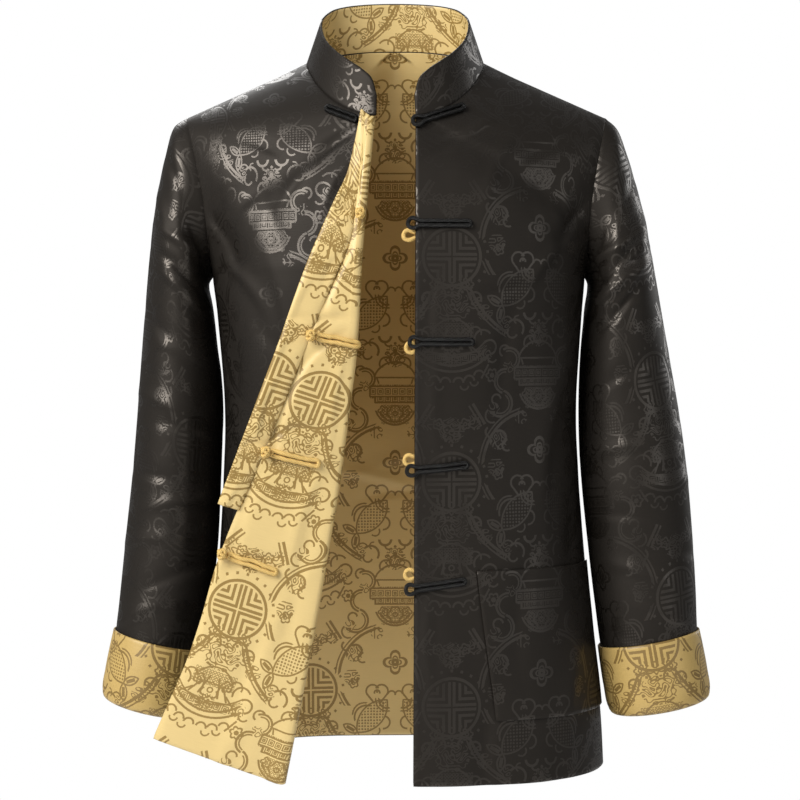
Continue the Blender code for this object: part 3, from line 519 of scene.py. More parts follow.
# Colours of ground and lines, their roughness and gloss, the tint of the gloss, and how much the
# threads and the clouds vary the colour
Look = namedtuple("Look", "ground line ground_rough line_rough ground_gloss line_gloss gloss_tint slub cloud")
BLACK_LOOK = Look(
    (0.0118, 0.0100, 0.0083), (0.0056, 0.0045, 0.0034), 0.57, 0.36, 0.27, 0.75, (1.0, 0.9, 0.8), 0.3, 0.25
)
GOLD_LOOK = Look(
    (0.72, 0.54, 0.235), (0.30, 0.19, 0.052), 0.4, 0.4, 0.42, 0.6, (1.0, 0.95, 0.85), 0.12, 0.14
)
OCHRE_LOOK = Look(
    (0.52, 0.36, 0.125), (0.23, 0.145, 0.042), 0.4, 0.4, 0.42, 0.6, (1.0, 0.95, 0.85), 0.14, 0.18
)
# Braids: colour, roughness and gloss
BLACK_BRAID = ((0.003, 0.0027, 0.0023), 0.34, 0.3)
GOLD_BRAID = ((0.86, 0.58, 0.19), 0.4, 0.3)

# Camera: at the height of the chest, a long way off, as in the photograph
CAMERA_AT = (0.005, -2.4, -0.243)
CAMERA_TILT = 2.48
SENSOR = 36.0
FRAME_WIDE = 0.832
CLIPPING = (0.1, 50.0)

# Studio: the floor, the world as the camera sees it and as it lights, and the lights with their
# place, aim, size, power and colour
FLOOR_Z = -1.42
FLOOR_HALF = 2.6
FLOOR_CORNERS = 96
FLOOR_COLOUR = (0.9, 0.9, 0.9)
FLOOR_ROUGH = 0.9
WORLD_SEEN = 1.0
WORLD_LIGHT = 0.21
LIGHTS = [
    ("key", (-1.9, -2.0, 1.3), (0, 0, -0.3), (1.9, 1.9), 128, (1.0, 0.985, 0.96)),
    ("fill", (2.3, -1.7, 0.3), (0, 0, -0.3), (0.8, 1.8), 7, (0.96, 0.98, 1.0)),
    ("front_right", (1.15, -2.4, 0.1), (0.1, 0, -0.3), (1.3, 2.2), 5, (1.0, 0.98, 0.95)),
    ("rim", (-0.6, 2.4, 1.6), (0, 0, -0.2), (1.6, 1.2), 34, (1.0, 1.0, 1.0)),
    ("rear_side", (2.0, 1.8, 0.4), (0, 0, -0.35), (1.0, 1.6), 14, (1.0, 1.0, 1.0)),
]


def interpolated(table, keys, at):
    """Rows of a table at given values of its keys, along straight lines between its rows."""
    return np.stack([np.interp(at, keys, column) for column in table.T], axis=-1)


def curve_through(rows, count):
    """Points of a smooth Catmull-Rom curve through a table's rows, as many as asked."""
    table = np.array(rows, float)
    ends = np.vstack([2 * table[0] - table[1], table, 2 * table[-1] - table[-2]])
    at = np.linspace(0, len(table) - 1, count)
    first = np.minimum(at.astype(int), len(table) - 2)
    t = (at - first)[:, None]
    p0, p1, p2, p3 = (ends[first + k] for k in range(4))
    return p1 + 0.5 * t * (p2 - p0 + t * (2 * p0 - 5 * p1 + 4 * p2 - p3 + t * (3 * (p1 - p2) + p3 - p0)))


def table_at(rows, key, values):
    """A named table at values of the named column."""
    column = rows[0]._fields.index(key)
    table = np.array(sorted(rows, key=lambda row: row[column]), float)
    return interpolated(table, table[:, column], values)


def lean_at(z):
    return np.interp(z, [row.z for row in LEANS], [row.over for row in LEANS])


def lean(points):
    moved = np.array(points, float)
    moved[..., 0] += lean_at(moved[..., 2])
    return moved


def front_edge(z):
    """The left front's edge at a height, before the lean."""
    share = (z - NECK_FRONT[0].z) / (SECTIONS[-1].z - NECK_FRONT[0].z)
    return EDGE_AT_NECK + (EDGE_AT_HEM - EDGE_AT_NECK) * share - lean_at(z) + lean_at(NECK_FRONT[0].z)


def back_middle(z):
    return 0 * z


# Half a panel: the way it faces along Y, the angle of the neck's corner, the armhole's depth, its
# columns, its tables, its column among the swells, and where its middle lies at a height
Panel = namedtuple("Panel", "sign corner depth columns neck middle swell edge")
FRONT = Panel(-1, 105, ARMHOLE_FRONT, FRONT_COLUMNS, NECK_FRONT[::-1], FRONT_MIDDLE, 1, front_edge)
BACK = Panel(1, 90, ARMHOLE_BACK, BACK_COLUMNS, NECK_BACK, BACK_MIDDLE, 2, back_middle)

# Angles round half an armhole, and the rows of the underarm and of the neck's corners
HALF_ANGLES = np.arange(0, HALF_TURN + 1, ARM_STEP)
PIT = HALF_TURN // ARM_STEP
NECK_ROW = FRONT.corner // ARM_STEP
NAPE_ROW = BACK.corner // ARM_STEP


def unit(vectors):
    return vectors / np.maximum(np.linalg.norm(vectors, axis=-1, keepdims=True), TINY)


def steps(points, axis=0):
    """Distances between neighbours along an axis of a grid of points."""
    return np.linalg.norm(np.diff(points, axis=axis), axis=-1)


def walked(points, axis=0):
    """Distance walked along an axis of a grid of points, from 0."""
    total = np.cumsum(steps(points, axis), axis=axis)
    return np.concatenate([np.zeros_like(np.take(total, [0], axis=axis)), total], axis=axis)


def flat_grid(across, up):
    return np.stack(np.broadcast_arrays(across, up), axis=-1)


def mirrored(grid):
    return grid * np.array([-1, 1, 1])


def grid_normals(points, wrap=False):
    """Unit normals of a grid of rows and columns: along the rows crossed with down the columns."""
    if wrap:
        along = np.roll(points, -1, axis=1) - np.roll(points, 1, axis=1)
    else:
        along = np.gradient(points, axis=1)
    return unit(np.cross(along, np.gradient(points, axis=0)))


def held_at(points, parts):
    """1 for each point of a grid, and 0 on the parts that no fold may move."""
    share = np.ones(points.shape[:2])
    for part in parts:
        share[part] = 0
    return share


def folded(points, outward, folds, facing, share, bow=0.0, steep=1.0):
    """Moves a share of the cloth out or in at each fold, on the side that faces along Y."""
    lift = 0
    for fold in folds:
        slope = math.radians(fold.slope)
        apart = points[..., [0, 2]] - [fold.x, fold.z]
        along = apart @ [math.cos(slope), math.sin(slope)]
        aside = apart @ [-math.sin(slope), math.cos(slope)] + bow * along * along / fold.length
        width = np.where(aside > 0, fold.width, fold.width * steep)
        lift += fold.height * np.exp(-((along / fold.length) ** 2) - (aside / width) ** 2)
    lift = lift * np.clip(outward[..., 1] * facing * FOLD_FADE, 0, 1) * share
    return points + outward * lift[..., None]


def creased(points, outward, creases, facing, share):
    """Narrow troughs and ridges, bowed, and sharper on one side than the other."""
    return folded(points, outward, creases, facing, share, CREASE_BOW, CREASE_STEEP)


def rolled_in(points, outward, from_edge):
    """Rolls a sewn edge in."""
    lift = SEAM_ROLL * np.exp(-((from_edge / SEAM_ROLL_WIDTH) ** 2))
    return points + outward * lift[..., None]


def armhole(side):
    """Points of half the right-hand armhole, from the shoulder to the underarm."""
    turn = np.radians(HALF_ANGLES)
    share = (1 - np.cos(turn)) / 2
    x = SHOULDER_X + (UNDERARM_X - SHOULDER_X) * share - ARMHOLE_BOW * np.sin(math.pi * share)
    z = SHOULDER_Z + (UNDERARM_Z - SHOULDER_Z) * share
    return np.stack([x, side.sign * side.depth * np.sin(turn), z], axis=-1)


def armhole_outward(side):
    """Direction that the panel's and the sleeve's edges share, so that their walls meet cleanly."""
    turn = np.radians(HALF_ANGLES)
    ways = [SHOULDER_OUTWARD * np.cos(turn / 2), side.sign * np.sin(turn), np.cos(turn)]
    return unit(np.stack(ways, axis=-1))


def neck_points(side):
    """Seam points and free-edge points of half the collar, from the shoulder to the middle."""
    curve = curve_through(side.neck, side.corner // ARM_STEP + 1)
    return curve[:, :3], curve[:, 3:]


def panel_rows(side):
    """Each row of half a panel from the shoulder down: its outer and middle ends and its swell."""
    middle = table_at(side.middle, "angle", HALF_ANGLES[HALF_ANGLES > side.corner])[:, 1:]
    below = np.column_stack([side.edge(middle[:, 1]), middle])
    swell = table_at(SWELLS, "angle", HALF_ANGLES)[:, side.swell]
    rows = list(zip(armhole(side), np.vstack([neck_points(side)[0], below]), swell))
    for section in curve_through(SECTIONS, LOWER_ROWS + 1)[1:]:
        z, half_width = section[:2]
        x = side.edge(z)
        depth = side.sign * section[1 + side.swell]
        y = depth * (1 - (x / half_width) ** ROUNDNESS) ** (1 / ROUNDNESS)
        rows.append((np.array([half_width, 0, z]), np.array([x, y, z]), 0.0))
    return rows


def across(row, end_x, count):
    """Points along one row, from its outer end to where x is end_x, on a rounded section."""
    outer, middle, swell = row
    if abs(middle[1]) < SEAM_GAP:
        return outer + (middle - outer) * np.linspace(0, 1, count)[:, None]
    reach = np.abs(np.array([outer, middle])[:, :2]) ** ROUNDNESS
    wide, deep = np.linalg.solve(reach, np.ones(2)) ** (-1 / ROUNDNESS)
    ends = [math.acos(min(1.0, (x / wide) ** (ROUNDNESS / 2))) for x in (outer[0], max(end_x, 0))]
    turn = np.linspace(*ends, count)
    x = wide * np.cos(turn) ** (2 / ROUNDNESS)
    share = (outer[0] - x) / (outer[0] - middle[0])
    bulge = swell * np.sin(math.pi * np.clip(share, 0, 1)) ** 2
    y = np.sign(middle[1]) * (deep * np.sin(turn) ** (2 / ROUNDNESS) + bulge)
    return np.stack([x, y, outer[2] + (middle[2] - outer[2]) * share], axis=-1)


def sewn_outward(outward, at_armhole):
    """Turns a panel's outward directions at its shoulder, side and armhole to fit its neighbours."""
    outward[0, :, 1] = 0
    outward[PIT:, 0, 1] = 0
    outward[1:PIT, 0] = at_armhole[1:-1]
    return unit(outward)


def seam_inset(points, side):
    """Moves a panel's edges back by half the seam's gap, away from its neighbours."""
    moved = points.copy()
    moved[0, :, 1] += side.sign * SEAM_GAP / 2
    moved[PIT:, 0, 1] += side.sign * SEAM_GAP / 2
    return moved


def panel_grid(side):
    """Half a panel, on the viewer's right, and its outward directions, before the lean."""
    points = np.array([across(row, row[1][0], side.columns + 1) for row in panel_rows(side)])
    outward = grid_normals(points)
    outward *= np.sign(side.sign * outward[len(outward) // 2, -1, 1])
    return seam_inset(points, side), sewn_outward(outward, armhole_outward(side))


def ring_points(ring, out=0.0):
    """Points round a sleeve's ring, from its outer side to the front and on round."""
    out_x, out_z, in_x, in_z, depth, middle = ring
    outer, inner = np.array([out_x, middle, out_z]), np.array([in_x, middle, in_z])
    half = (outer - inner) / 2
    half *= 1 + out / np.linalg.norm(half)
    turn = np.radians(np.arange(0, 2 * HALF_TURN, ARM_STEP))
    ahead = np.array([0, -(depth + out), 0])
    return (outer + inner) / 2 + np.outer(np.cos(turn), half) + np.outer(np.sin(turn), ahead)


def tangents(values, gaps, kinks):
    """Slopes of a smooth curve through the rows of a grid, arriving at and leaving each row."""
    wide = gaps[:, None, None]
    slopes = np.diff(values, axis=0) / wide
    inner = (slopes[:-1] * wide[1:] + slopes[1:] * wide[:-1]) / (wide[1:] + wide[:-1])
    arriving = np.concatenate([slopes[:1], inner, slopes[-1:]])
    leaving = arriving.copy()
    for row, column in kinks:
        arriving[row, column] = slopes[row - 1, column]
        leaving[row, column] = slopes[row, column]
    return arriving, leaving


def smoothed(values, gaps, counts, kinks=(), last=None):
    """Adds rows between those of a grid, on cubic curves through them, with a corner at each kink.

    last is the slope that the curves end with, where it is given. Also says where each old row lies.
    """
    arriving, leaving = tangents(values, gaps, kinks)
    if last is not None:
        arriving[-1] = last
    rows = []
    for i, count in enumerate(counts):
        for s in np.arange(count) / count:
            start = (1 + 2 * s) * (1 - s) ** 2 * values[i] + s * (1 - s) ** 2 * gaps[i] * leaving[i]
            end = s * s * (3 - 2 * s) * values[i + 1] - s * s * (1 - s) * gaps[i] * arriving[i + 1]
            rows.append(start + end)
    return np.array(rows + [values[-1]]), np.concatenate([[0], np.cumsum(counts)])


def gaps_between(points, cell):
    """Mean gap after each row, and how many cells it takes."""
    gaps = steps(points).mean(axis=1)
    return gaps, np.maximum(1, np.ceil(gaps / cell)).astype(int)


def finer_rows(points, outward, kinks=(), cell=CELL):
    """Points and outward directions side by side, with rows added, and where each old row lies."""
    return smoothed(np.concatenate([points, outward], axis=-1), *gaps_between(points, cell), kinks)


def finer_columns(values, wrap=False, kinks=(), cell=CELL, other=None, meet=0):
    """The same across the columns. Where another half is given, the two meet smoothly at their last
    columns from a row on."""
    columns = values.shape[1]
    turned = values.swapaxes(0, 1)
    if wrap:
        turned = np.concatenate([turned[-2:], turned, turned[:3]])
    gaps, counts = gaps_between(turned[..., :3], cell)
    last = None
    if other is not None:
        mine = (values[:, -1] - values[:, -2]) / gaps[-1]
        theirs = (other[:, -1] - other[:, -2]) / gaps[-1]
        last = np.where(np.arange(len(values))[:, None] >= meet, (mine - theirs) / 2, mine)
    turned, starts = smoothed(turned, gaps, counts, kinks, last)
    if wrap:
        turned = turned[starts[2]:starts[2 + columns]]
    values = turned.swapaxes(0, 1)
    return values[..., :3], unit(values[..., 3:]), starts


def fade_from(points, sides):
    """A number for each point that rises from 0 on the named sides of a grid to 1 away from them."""
    fade = np.ones(points.shape[:2])
    for side in sides:
        axis = 0 if side in ("top", "bottom") else 1
        near = side in ("top", "left")
        distance = walked(points if near else np.flip(points, axis), axis)
        share = np.clip((distance if near else np.flip(distance, axis)) / SEAM_FADE, 0, 1)
        fade *= share * share * (3 - 2 * share)
    return fade


def linked(name, data):
    made = bpy.data.objects.new(name, data)
    bpy.context.scene.collection.objects.link(made)
    return made


def smooth_mesh(name, corners, faces, flat, looks):
    """A smooth mesh with each corner's flat coordinates, from millimetres."""
    mesh = bpy.data.meshes.new(name)
    mesh.from_pydata((corners * MM).tolist(), [], faces)
    layer = mesh.uv_layers.new(name="cloth")
    layer.data.foreach_set("uv", (np.array(flat) * MM).astype(np.float32).ravel())
    mesh.polygons.foreach_set("use_smooth", [True] * len(faces))
    for look in looks:
        mesh.materials.append(look)
    return mesh


def shell(name, points, outward, uv, looks, wall=WALL, wrap=False, keep=None, joined=None, split=None):
    """A cloth shell: outer face, inner face and rounded edges between.

    looks are the materials of the outer face, the inner face, the edges and, where it differs, the
    edges beyond the split. split gives a column and the flat coordinates that hold beyond it.
    """
    rows, columns = points.shape[:2]
    size = rows * columns
    if keep is None:
        keep = np.ones((rows - 1, columns if wrap else columns - 1), bool)
    index = np.arange(size).reshape(rows, columns)
    if joined is not None:
        joined_rows, column, other = joined
        index[joined_rows, column] = index[joined_rows, other]
    outer = []
    for i, j in zip(*np.nonzero(keep)):
        k = (j + 1) % columns
        quad = [int(index[at]) for at in ((i, j), (i, k), (i + 1, k), (i + 1, j))]
        # The last column of a closed ring ends where the first began, one girth further on
        last = k or columns
        places = [(i, j), (i, last), (i + 1, last), (i + 1, j)]
        outer.append((quad, places, split is not None and j >= split[0]))
    flat, flat_out = points.reshape(-1, 3), outward.reshape(-1, 3)
    a, b, _, d = outer[len(outer) // 2][0]
    flip = -1 if np.cross(flat[b] - flat[a], flat[d] - flat[a]) @ flat_out[a] < 0 else 1
    runs = [edge for quad, _, _ in outer for edge in zip(quad, quad[1:] + quad[:1])]
    known = set(runs)
    edges = [edge for edge in runs if edge[::-1] not in known]
    bulge = np.zeros_like(flat)
    for edge in edges:
        bulge[list(edge)] += np.cross(flat[edge[1]] - flat[edge[0]], flat_out[edge[0]]) * flip
    rim = flat - flat_out * wall / 2 + unit(bulge) * wall * EDGE_BULGE
    corners = np.vstack([flat, flat - flat_out * wall, rim])
    # A face has its corners, their places on the grid, whether it lies beyond the split, and its kind
    faces = [(quad, places, beyond, 0) for quad, places, beyond in outer]
    faces += [([c + size for c in quad[::-1]], places[::-1], beyond, 1) for quad, places, beyond in outer]
    spot = {}
    for quad, places, beyond in outer:
        for corner, at in zip(quad, places):
            spot.setdefault(corner, (at, beyond))
    for a, b in edges:
        (at, beyond), (to, _) = spot[a], spot[b]
        kind = min(2 + beyond, len(looks) - 1)
        for low, high in ((0, 2 * size), (2 * size, size)):
            faces.append(((b + low, a + low, a + high, b + high), (to, at, at, to), beyond, kind))
    used = sorted({corner for face in faces for corner in face[0]})
    number = {corner: n for n, corner in enumerate(used)}
    quads = [[number[corner] for corner in face[0][::flip]] for face in faces]
    laid = [(split[1] if beyond else uv)[at] for _, places, beyond, _ in faces for at in places[::flip]]
    names = list(dict.fromkeys(look.name for look in looks))
    mesh = smooth_mesh(name, corners[used], quads, laid, [bpy.data.materials[title] for title in names])
    mesh.polygons.foreach_set("material_index", [names.index(looks[face[3]].name) for face in faces])
    mesh.update()
    return linked(name, mesh)


def panel_uv(points, pit, sign):
    """Flat coordinates of a panel: across from the middle, and up from the underarm's row."""
    x = points[..., 0] * sign
    u = x[:, -1:] + walked(points[:, ::-1], 1)[:, ::-1]
    above = np.interp(x[:pit], x[pit, ::-1], u[pit, ::-1])
    u[:pit] = above + np.maximum(x[:pit] - x[pit, 0], 0) - np.maximum(x[pit, -1] - x[:pit], 0)
    v = points[..., 2].copy()
    v[:pit] = v[pit] + np.cumsum(steps(points[:pit + 1, :, 1:])[::-1], axis=0)[::-1]
    return np.stack([u * sign, v], axis=-1)


def flat_of(points, keep=None):
    """Width, length and area of a grid of cloth laid flat."""
    wide, down = steps(points, 1), steps(points)
    cells = (wide[:-1] + wide[1:]) / 2 * (down[:, :-1] + down[:, 1:]) / 2
    if keep is not None:
        cells = cells * keep
        wide = wide[1:] * keep
    area = cells.sum() * MM * MM
    width = wide.sum(axis=1).max() * MM
    length = max(down.sum(axis=0).max() * MM, area / width)
    return (round(width + HALF_MM, 3), round(length + HALF_MM, 3)), round(area, 5)


def flat_round(points):
    return flat_of(np.concatenate([points, points[:, :1]], axis=1))


def place(piece, nodes, slot, flat=None, area=None, held="draped", rests_on=()):
    """Attaches a piece to the root and hides the imported parts that it stands for; what it was cut to, its
    slot, how it is held and what it rests on are not used.
    """
    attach(piece, "root")
    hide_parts(*nodes)
    return piece


def back_cloth(looks):
    half, outward = panel_grid(BACK)
    outward[:, -1, 0] = np.where(half[:, -1, 0] == 0, 0, outward[:, -1, 0])
    points = lean(np.hstack([half, mirrored(half)[:, ::-1]]))
    outward = unit(np.hstack([outward, mirrored(outward)[:, ::-1]]))
    middle = half.shape[1] - 1
    neck = (np.s_[:NAPE_ROW + 1, middle], np.s_[:NAPE_ROW + 1, middle + 1], np.s_[:, -1])
    points = folded(points, outward, BACK_FOLDS, 1, held_at(points, HELD_SEAMS + neck))
    kinks = [(NAPE_ROW, middle), (PIT, 0)]
    halves = (np.s_[:, :middle + 1], np.s_[:, :middle:-1])
    (right, starts), (left, _) = (finer_rows(points[part], outward[part], kinks) for part in halves)
    meet = starts[NAPE_ROW]
    grids = [finer_columns(right, other=left, meet=meet), finer_columns(left, other=right, meet=meet)]
    uvs = [panel_uv(grid[0], starts[PIT], sign) for grid, sign in zip(grids, (1, -1))]
    points = np.hstack([grids[0][0], grids[1][0][:, ::-1]])
    outward = np.hstack([grids[0][1], grids[1][1][:, ::-1]])
    uv = np.hstack([uvs[0], uvs[1][:, ::-1]]) + BACK_SHIFT
    middle = grids[0][0].shape[1] - 1
    points = creased(points, outward, BACK_CREASES, 1, fade_from(points, ("top", "left", "right")))
    keep = np.ones((len(points) - 1, points.shape[1] - 1), bool)
    keep[:, middle] = False
    joined = (slice(meet, None), middle + 1, middle)
    made = shell("back_cloth", points, outward, uv, looks, keep=keep, joined=joined)
    return place(made, ["back"], "black_brocade", *flat_of(points, keep))


def front_left_grid():
    points, outward = panel_grid(FRONT)
    points = lean(points)
    held = held_at(points, HELD_SEAMS + (np.s_[:NECK_ROW + 1, -1],))
    points = folded(points, outward, FRONT_LEFT_FOLDS, -1, held)
    values, starts = finer_rows(points, outward, [(NECK_ROW, -1), (PIT, 0)])
    fine, fine_out, _ = finer_columns(values)
    uv = panel_uv(fine, starts[PIT], 1) + FRONT_LEFT_SHIFT
    fade = fade_from(fine, ("top", "left"))
    return creased(fine, fine_out, FRONT_LEFT_CREASES, -1, fade), fine_out, uv, starts


def front_right_grid():
    """The wearer's right front: the body part, the fold round its front, and the turned-back part."""
    rows = panel_rows(FRONT)
    grid = []
    for row in rows[:NECK_ROW]:
        body = mirrored(across(row, row[1][0], FRONT_COLUMNS + 1))
        beyond = body[-1] + np.outer(np.arange(1, FOLD_COLUMNS + FLAP_COLUMNS + 1), [1.0, 0, 0])
        grid.append(np.vstack([lean(body), lean(beyond)]))
    arch = HEM_ARCH * np.sin(np.linspace(0, math.pi, FRONT_COLUMNS + 1))
    turn = np.linspace(0, math.pi, FOLD_COLUMNS + 1)[1:]
    fold = (FOLD_RADIUS - WALL / 2) * np.stack([np.sin(turn), np.cos(turn) - 1, 0 * turn], axis=-1)
    share = np.linspace(0, 1, FLAP_COLUMNS + 1)[1:, None]
    turned = table_at(TURNED, "fold_z", [row[1][2] for row in rows[NECK_ROW:]])
    for row, (fold_x, fold_z, edge_x, edge_y, edge_z) in zip(rows[NECK_ROW:], turned):
        end_x = -(fold_x - FOLD_RADIUS) + lean_at(fold_z)
        body = lean(mirrored(across(row, end_x, FRONT_COLUMNS + 1)))
        body[:, 2] += arch * np.interp(fold_z, [SECTIONS[-1].z, HEM_ARCH_TOP], [1, 0])
        folding = body[-1] + fold
        edge = np.array([edge_x, edge_y + WALL, edge_z])
        grid.append(np.vstack([body, folding, folding[-1] + (edge - folding[-1]) * share]))
    points = np.array(grid)
    outward = grid_normals(points)
    outward *= np.sign(-outward[len(rows) // 2, FRONT_COLUMNS // 2, 1])
    outward = sewn_outward(outward, mirrored(armhole_outward(FRONT)))
    held = held_at(points, HELD_SEAMS + (np.s_[:, FRONT_COLUMNS:],))
    return folded(seam_inset(points, FRONT), outward, FRONT_RIGHT_FOLDS, -1, held), outward


def front_right_cloth(looks, strip_looks):
    coarse, coarse_out = front_right_grid()
    kinks = [(NECK_ROW, column) for column in range(FRONT_COLUMNS, coarse.shape[1])] + [(PIT, 0)]
    values, starts = finer_rows(coarse, coarse_out, kinks)
    neck = starts[NECK_ROW]
    points, outward, columns = finer_columns(values, kinks=[(FRONT_COLUMNS, row) for row in range(neck)])
    body_end = columns[FRONT_COLUMNS]
    turn = columns[FRONT_COLUMNS + FOLD_COLUMNS // 2]
    body_uv = panel_uv(points[:, :body_end + 1], starts[PIT], -1)
    beyond = np.repeat(body_uv[:, -1:], points.shape[1] - body_end - 1, axis=1)
    uv = np.hstack([body_uv, beyond]) + FRONT_RIGHT_SHIFT
    from_edge = walked(points[:, ::-1], 1)[:, ::-1]
    down = walked(points[:, -1])
    turned_uv = flat_grid(from_edge, (TURNED[0].edge_z - down + down[neck])[:, None]) + TURNED_SHIFT
    fade = fade_from(points, ("top", "left"))
    fade[:, body_end:] = 0
    points = creased(points, outward, FRONT_RIGHT_CREASES, -1, fade)
    # On the turned part the cloth faces backwards, and its creases show from the front
    apart = np.linalg.norm(points - points[:, turn:turn + 1], axis=-1)
    fade = np.clip(apart / SEAM_FADE, 0, 1)
    fade[:, :columns[FRONT_COLUMNS + FOLD_COLUMNS]] = 0
    points = rolled_in(creased(points, -outward, TURNED_CREASES, -1, fade), outward, from_edge)
    keep = np.ones((len(points) - 1, points.shape[1] - 1), bool)
    keep[:neck, body_end:] = False
    made = shell("front_right_cloth", points, outward, uv, looks, keep=keep, split=(turn, turned_uv))
    place(made, ["front_right"], "gold_brocade", *flat_of(points, keep))
    underlap_cloth(coarse[NECK_ROW:], coarse_out[NECK_ROW:], strip_looks)
    return made


def underlap_cloth(coarse, coarse_out, looks):
    """The strip beyond the turned-back front's edge."""
    count = int(np.sum(coarse[:, -1, 2] >= UNDERLAP[-1].z - UNDERLAP_SLACK))
    coarse, outward = coarse[:count], coarse_out[:count, -1:]
    edge = coarse[:, -1:]
    along = unit(edge - coarse[:, -1 - FLAP_COLUMNS, None])
    width = table_at(UNDERLAP, "z", edge[:, 0, 2])[:, 1:]
    share = np.linspace(0, 1, UNDERLAP_COLUMNS + 1)
    grid = edge + along * (2 * SEAM_GAP + (width * share)[..., None])
    values, _ = finer_rows(grid, np.repeat(outward, len(share), axis=1))
    points, outward, _ = finer_columns(values)
    from_seam = walked(points, 1)
    uv = flat_grid(from_seam, (TURNED[0].edge_z - walked(points[:, 0]))[:, None]) + UNDERLAP_SHIFT
    points = rolled_in(creased(points, -outward, UNDERLAP_CREASES, -1, 1.0), outward, from_seam)
    made = shell("underlap_cloth", points, outward, uv, looks)
    place(made, ["underlap"], "gold_brocade", *flat_of(points), rests_on=["front_right_cloth"])


def collar_cloth(looks):
    halves = zip(neck_points(FRONT), neck_points(BACK))
    base, top = (np.vstack([front[::-1], back[1:]]) for front, back in halves)
    base = base + unit(top - base) * SEAM_GAP
    half = base + (top - base) * np.linspace(0, 1, COLLAR_ROWS + 1)[:, None, None]
    points = np.hstack([half, mirrored(half)[:, -2::-1]])
    outward = grid_normals(points)
    outward *= np.sign(outward[0, points.shape[1] // 2, 1])
    outward[0, :, 2] = 0
    values, _ = finer_rows(lean(points), unit(outward))
    points, outward, _ = finer_columns(values)
    uv = flat_grid(walked(points[0]), walked(points)) + COLLAR_SHIFT
    made = shell("collar_cloth", points, outward, uv, looks)
    place(made, ["collar"], "black_brocade", *flat_of(points), held="hung")


def tube_uv(points):
    """Flat coordinates round a tube, with one more column where it closes, and up from its end."""
    closed = np.concatenate([points, points[:, :1]], axis=1)
    around = np.concatenate([[0], np.cumsum(steps(closed, 1).mean(axis=0))])
    return flat_grid(around, walked(closed[::-1])[::-1])


def sleeve_cloth(side, sign, rings, folds, creases, shift, looks):
    loop, loop_out = (
        np.vstack([half(FRONT), half(BACK)[-2:0:-1]]) * [sign, 1, 1] for half in (armhole, armhole_outward)
    )
    loop = lean(loop) + [sign * SEAM_GAP, 0, 0]
    points = np.array([loop] + [ring_points(ring) for ring in curve_through(rings, SLEEVE_ROWS)])
    outward = grid_normals(points, wrap=True)
    outward *= np.sign(outward[SLEEVE_ROWS // 2, 0, 0]) * sign
    outward[0] = loop_out
    held = held_at(points, (np.s_[0], np.s_[-2:]))
    for facing in (-1, 1):
        points = folded(points, outward, folds, facing, held)
    values, _ = finer_rows(points, unit(outward))
    points, outward, _ = finer_columns(values, wrap=True)
    fade = fade_from(points, ("top", "bottom"))
    for facing in (-1, 1):
        points = creased(points, outward, creases, facing, fade)
    flat = flat_round(points)
    inside = points[0] - unit(points[1] - points[0]) * ALLOWANCE - outward[0] * ALLOWANCE_DEPTH
    points = np.concatenate([inside[None], points])
    outward = np.concatenate([outward[:1], outward])
    uv = tube_uv(points) * [sign, 1] + shift
    made = shell(f"sleeve_{side}_cloth", points, outward, uv, looks, wrap=True)
    place(made, [f"sleeve_{side}"], "black_brocade", *flat)


def cuff_cloth(side, sign, rings, looks):
    last, before = np.array(rings[-1], float), np.array(rings[-2], float)
    upward = (before - last) / (before[1] - last[1])
    points = np.array([ring_points(last + upward * step.up, step.out) for step in CUFF_PATH])
    outward = grid_normals(points, wrap=True)
    outward *= np.sign(outward[-1, 0, 0]) * sign
    values, _ = finer_rows(points + outward * WALL / 2, outward, cell=CUFF_CELL)
    points, outward, _ = finer_columns(values, wrap=True, cell=CUFF_CELL)
    uv = tube_uv(points) * [sign, -1] + CUFF_SHIFT
    made = shell(f"cuff_{side}_cloth", points, outward, uv, looks, wrap=True)
    resting = [f"sleeve_{side}_cloth"]
    place(made, [f"cuff_{side}"], "ochre_brocade", *flat_round(points), held="folded", rests_on=resting)


def pocket_cloth(points, outward, uv, starts, looks):
    """A patch lying on the wearer's left front: its grid is the front's own, moved out."""
    along = np.linspace(POCKET_SIDE, POCKET_INNER, int((POCKET_INNER - POCKET_SIDE) / CELL))
    lower = np.concatenate([points, outward, uv], axis=-1)[starts[PIT]:]
    level = lower[:, 0, 2]
    grid = []
    for z in np.linspace(POCKET_TOP, POCKET_BOTTOM, int((POCKET_TOP - POCKET_BOTTOM) / CELL)):
        above = min(int(np.searchsorted(-level, -z, side="right")) - 1, len(level) - 2)
        share = (level[above] - z) / (level[above] - level[above + 1])
        line = lower[above] * (1 - share) + lower[above + 1] * share
        grid.append(interpolated(line, walked(line[:, :3]), along))
    points, outward, uv = np.split(np.array(grid), (3, 6), axis=-1)
    outward = unit(outward)
    made = shell("pocket_cloth", points + outward * POCKET_LIFT, outward, uv, looks, wall=POCKET_WALL)
    place(made, ["pocket"], "black_brocade", *flat_of(points), held="laid", rests_on=["front_left_cloth"])


def runs_of_cord(start, length):
    """Two runs of cord seen flat, as distances along and across, and the turn that joins them at
    the far end."""
    straight = np.linspace(start, length, RUN_STEPS)
    aside = np.full(RUN_STEPS, CORD_HALF_SPACING)
    turn = np.linspace(-math.pi / 2, math.pi / 2, TURN_STEPS + 2)[1:-1]
    rounded = CORD_HALF_SPACING * np.stack([np.cos(turn), np.sin(turn)], axis=-1)
    lower = np.stack([straight, -aside], axis=-1)
    upper = np.stack([straight[::-1], aside], axis=-1)
    return lower, rounded + [length, 0], upper, rounded


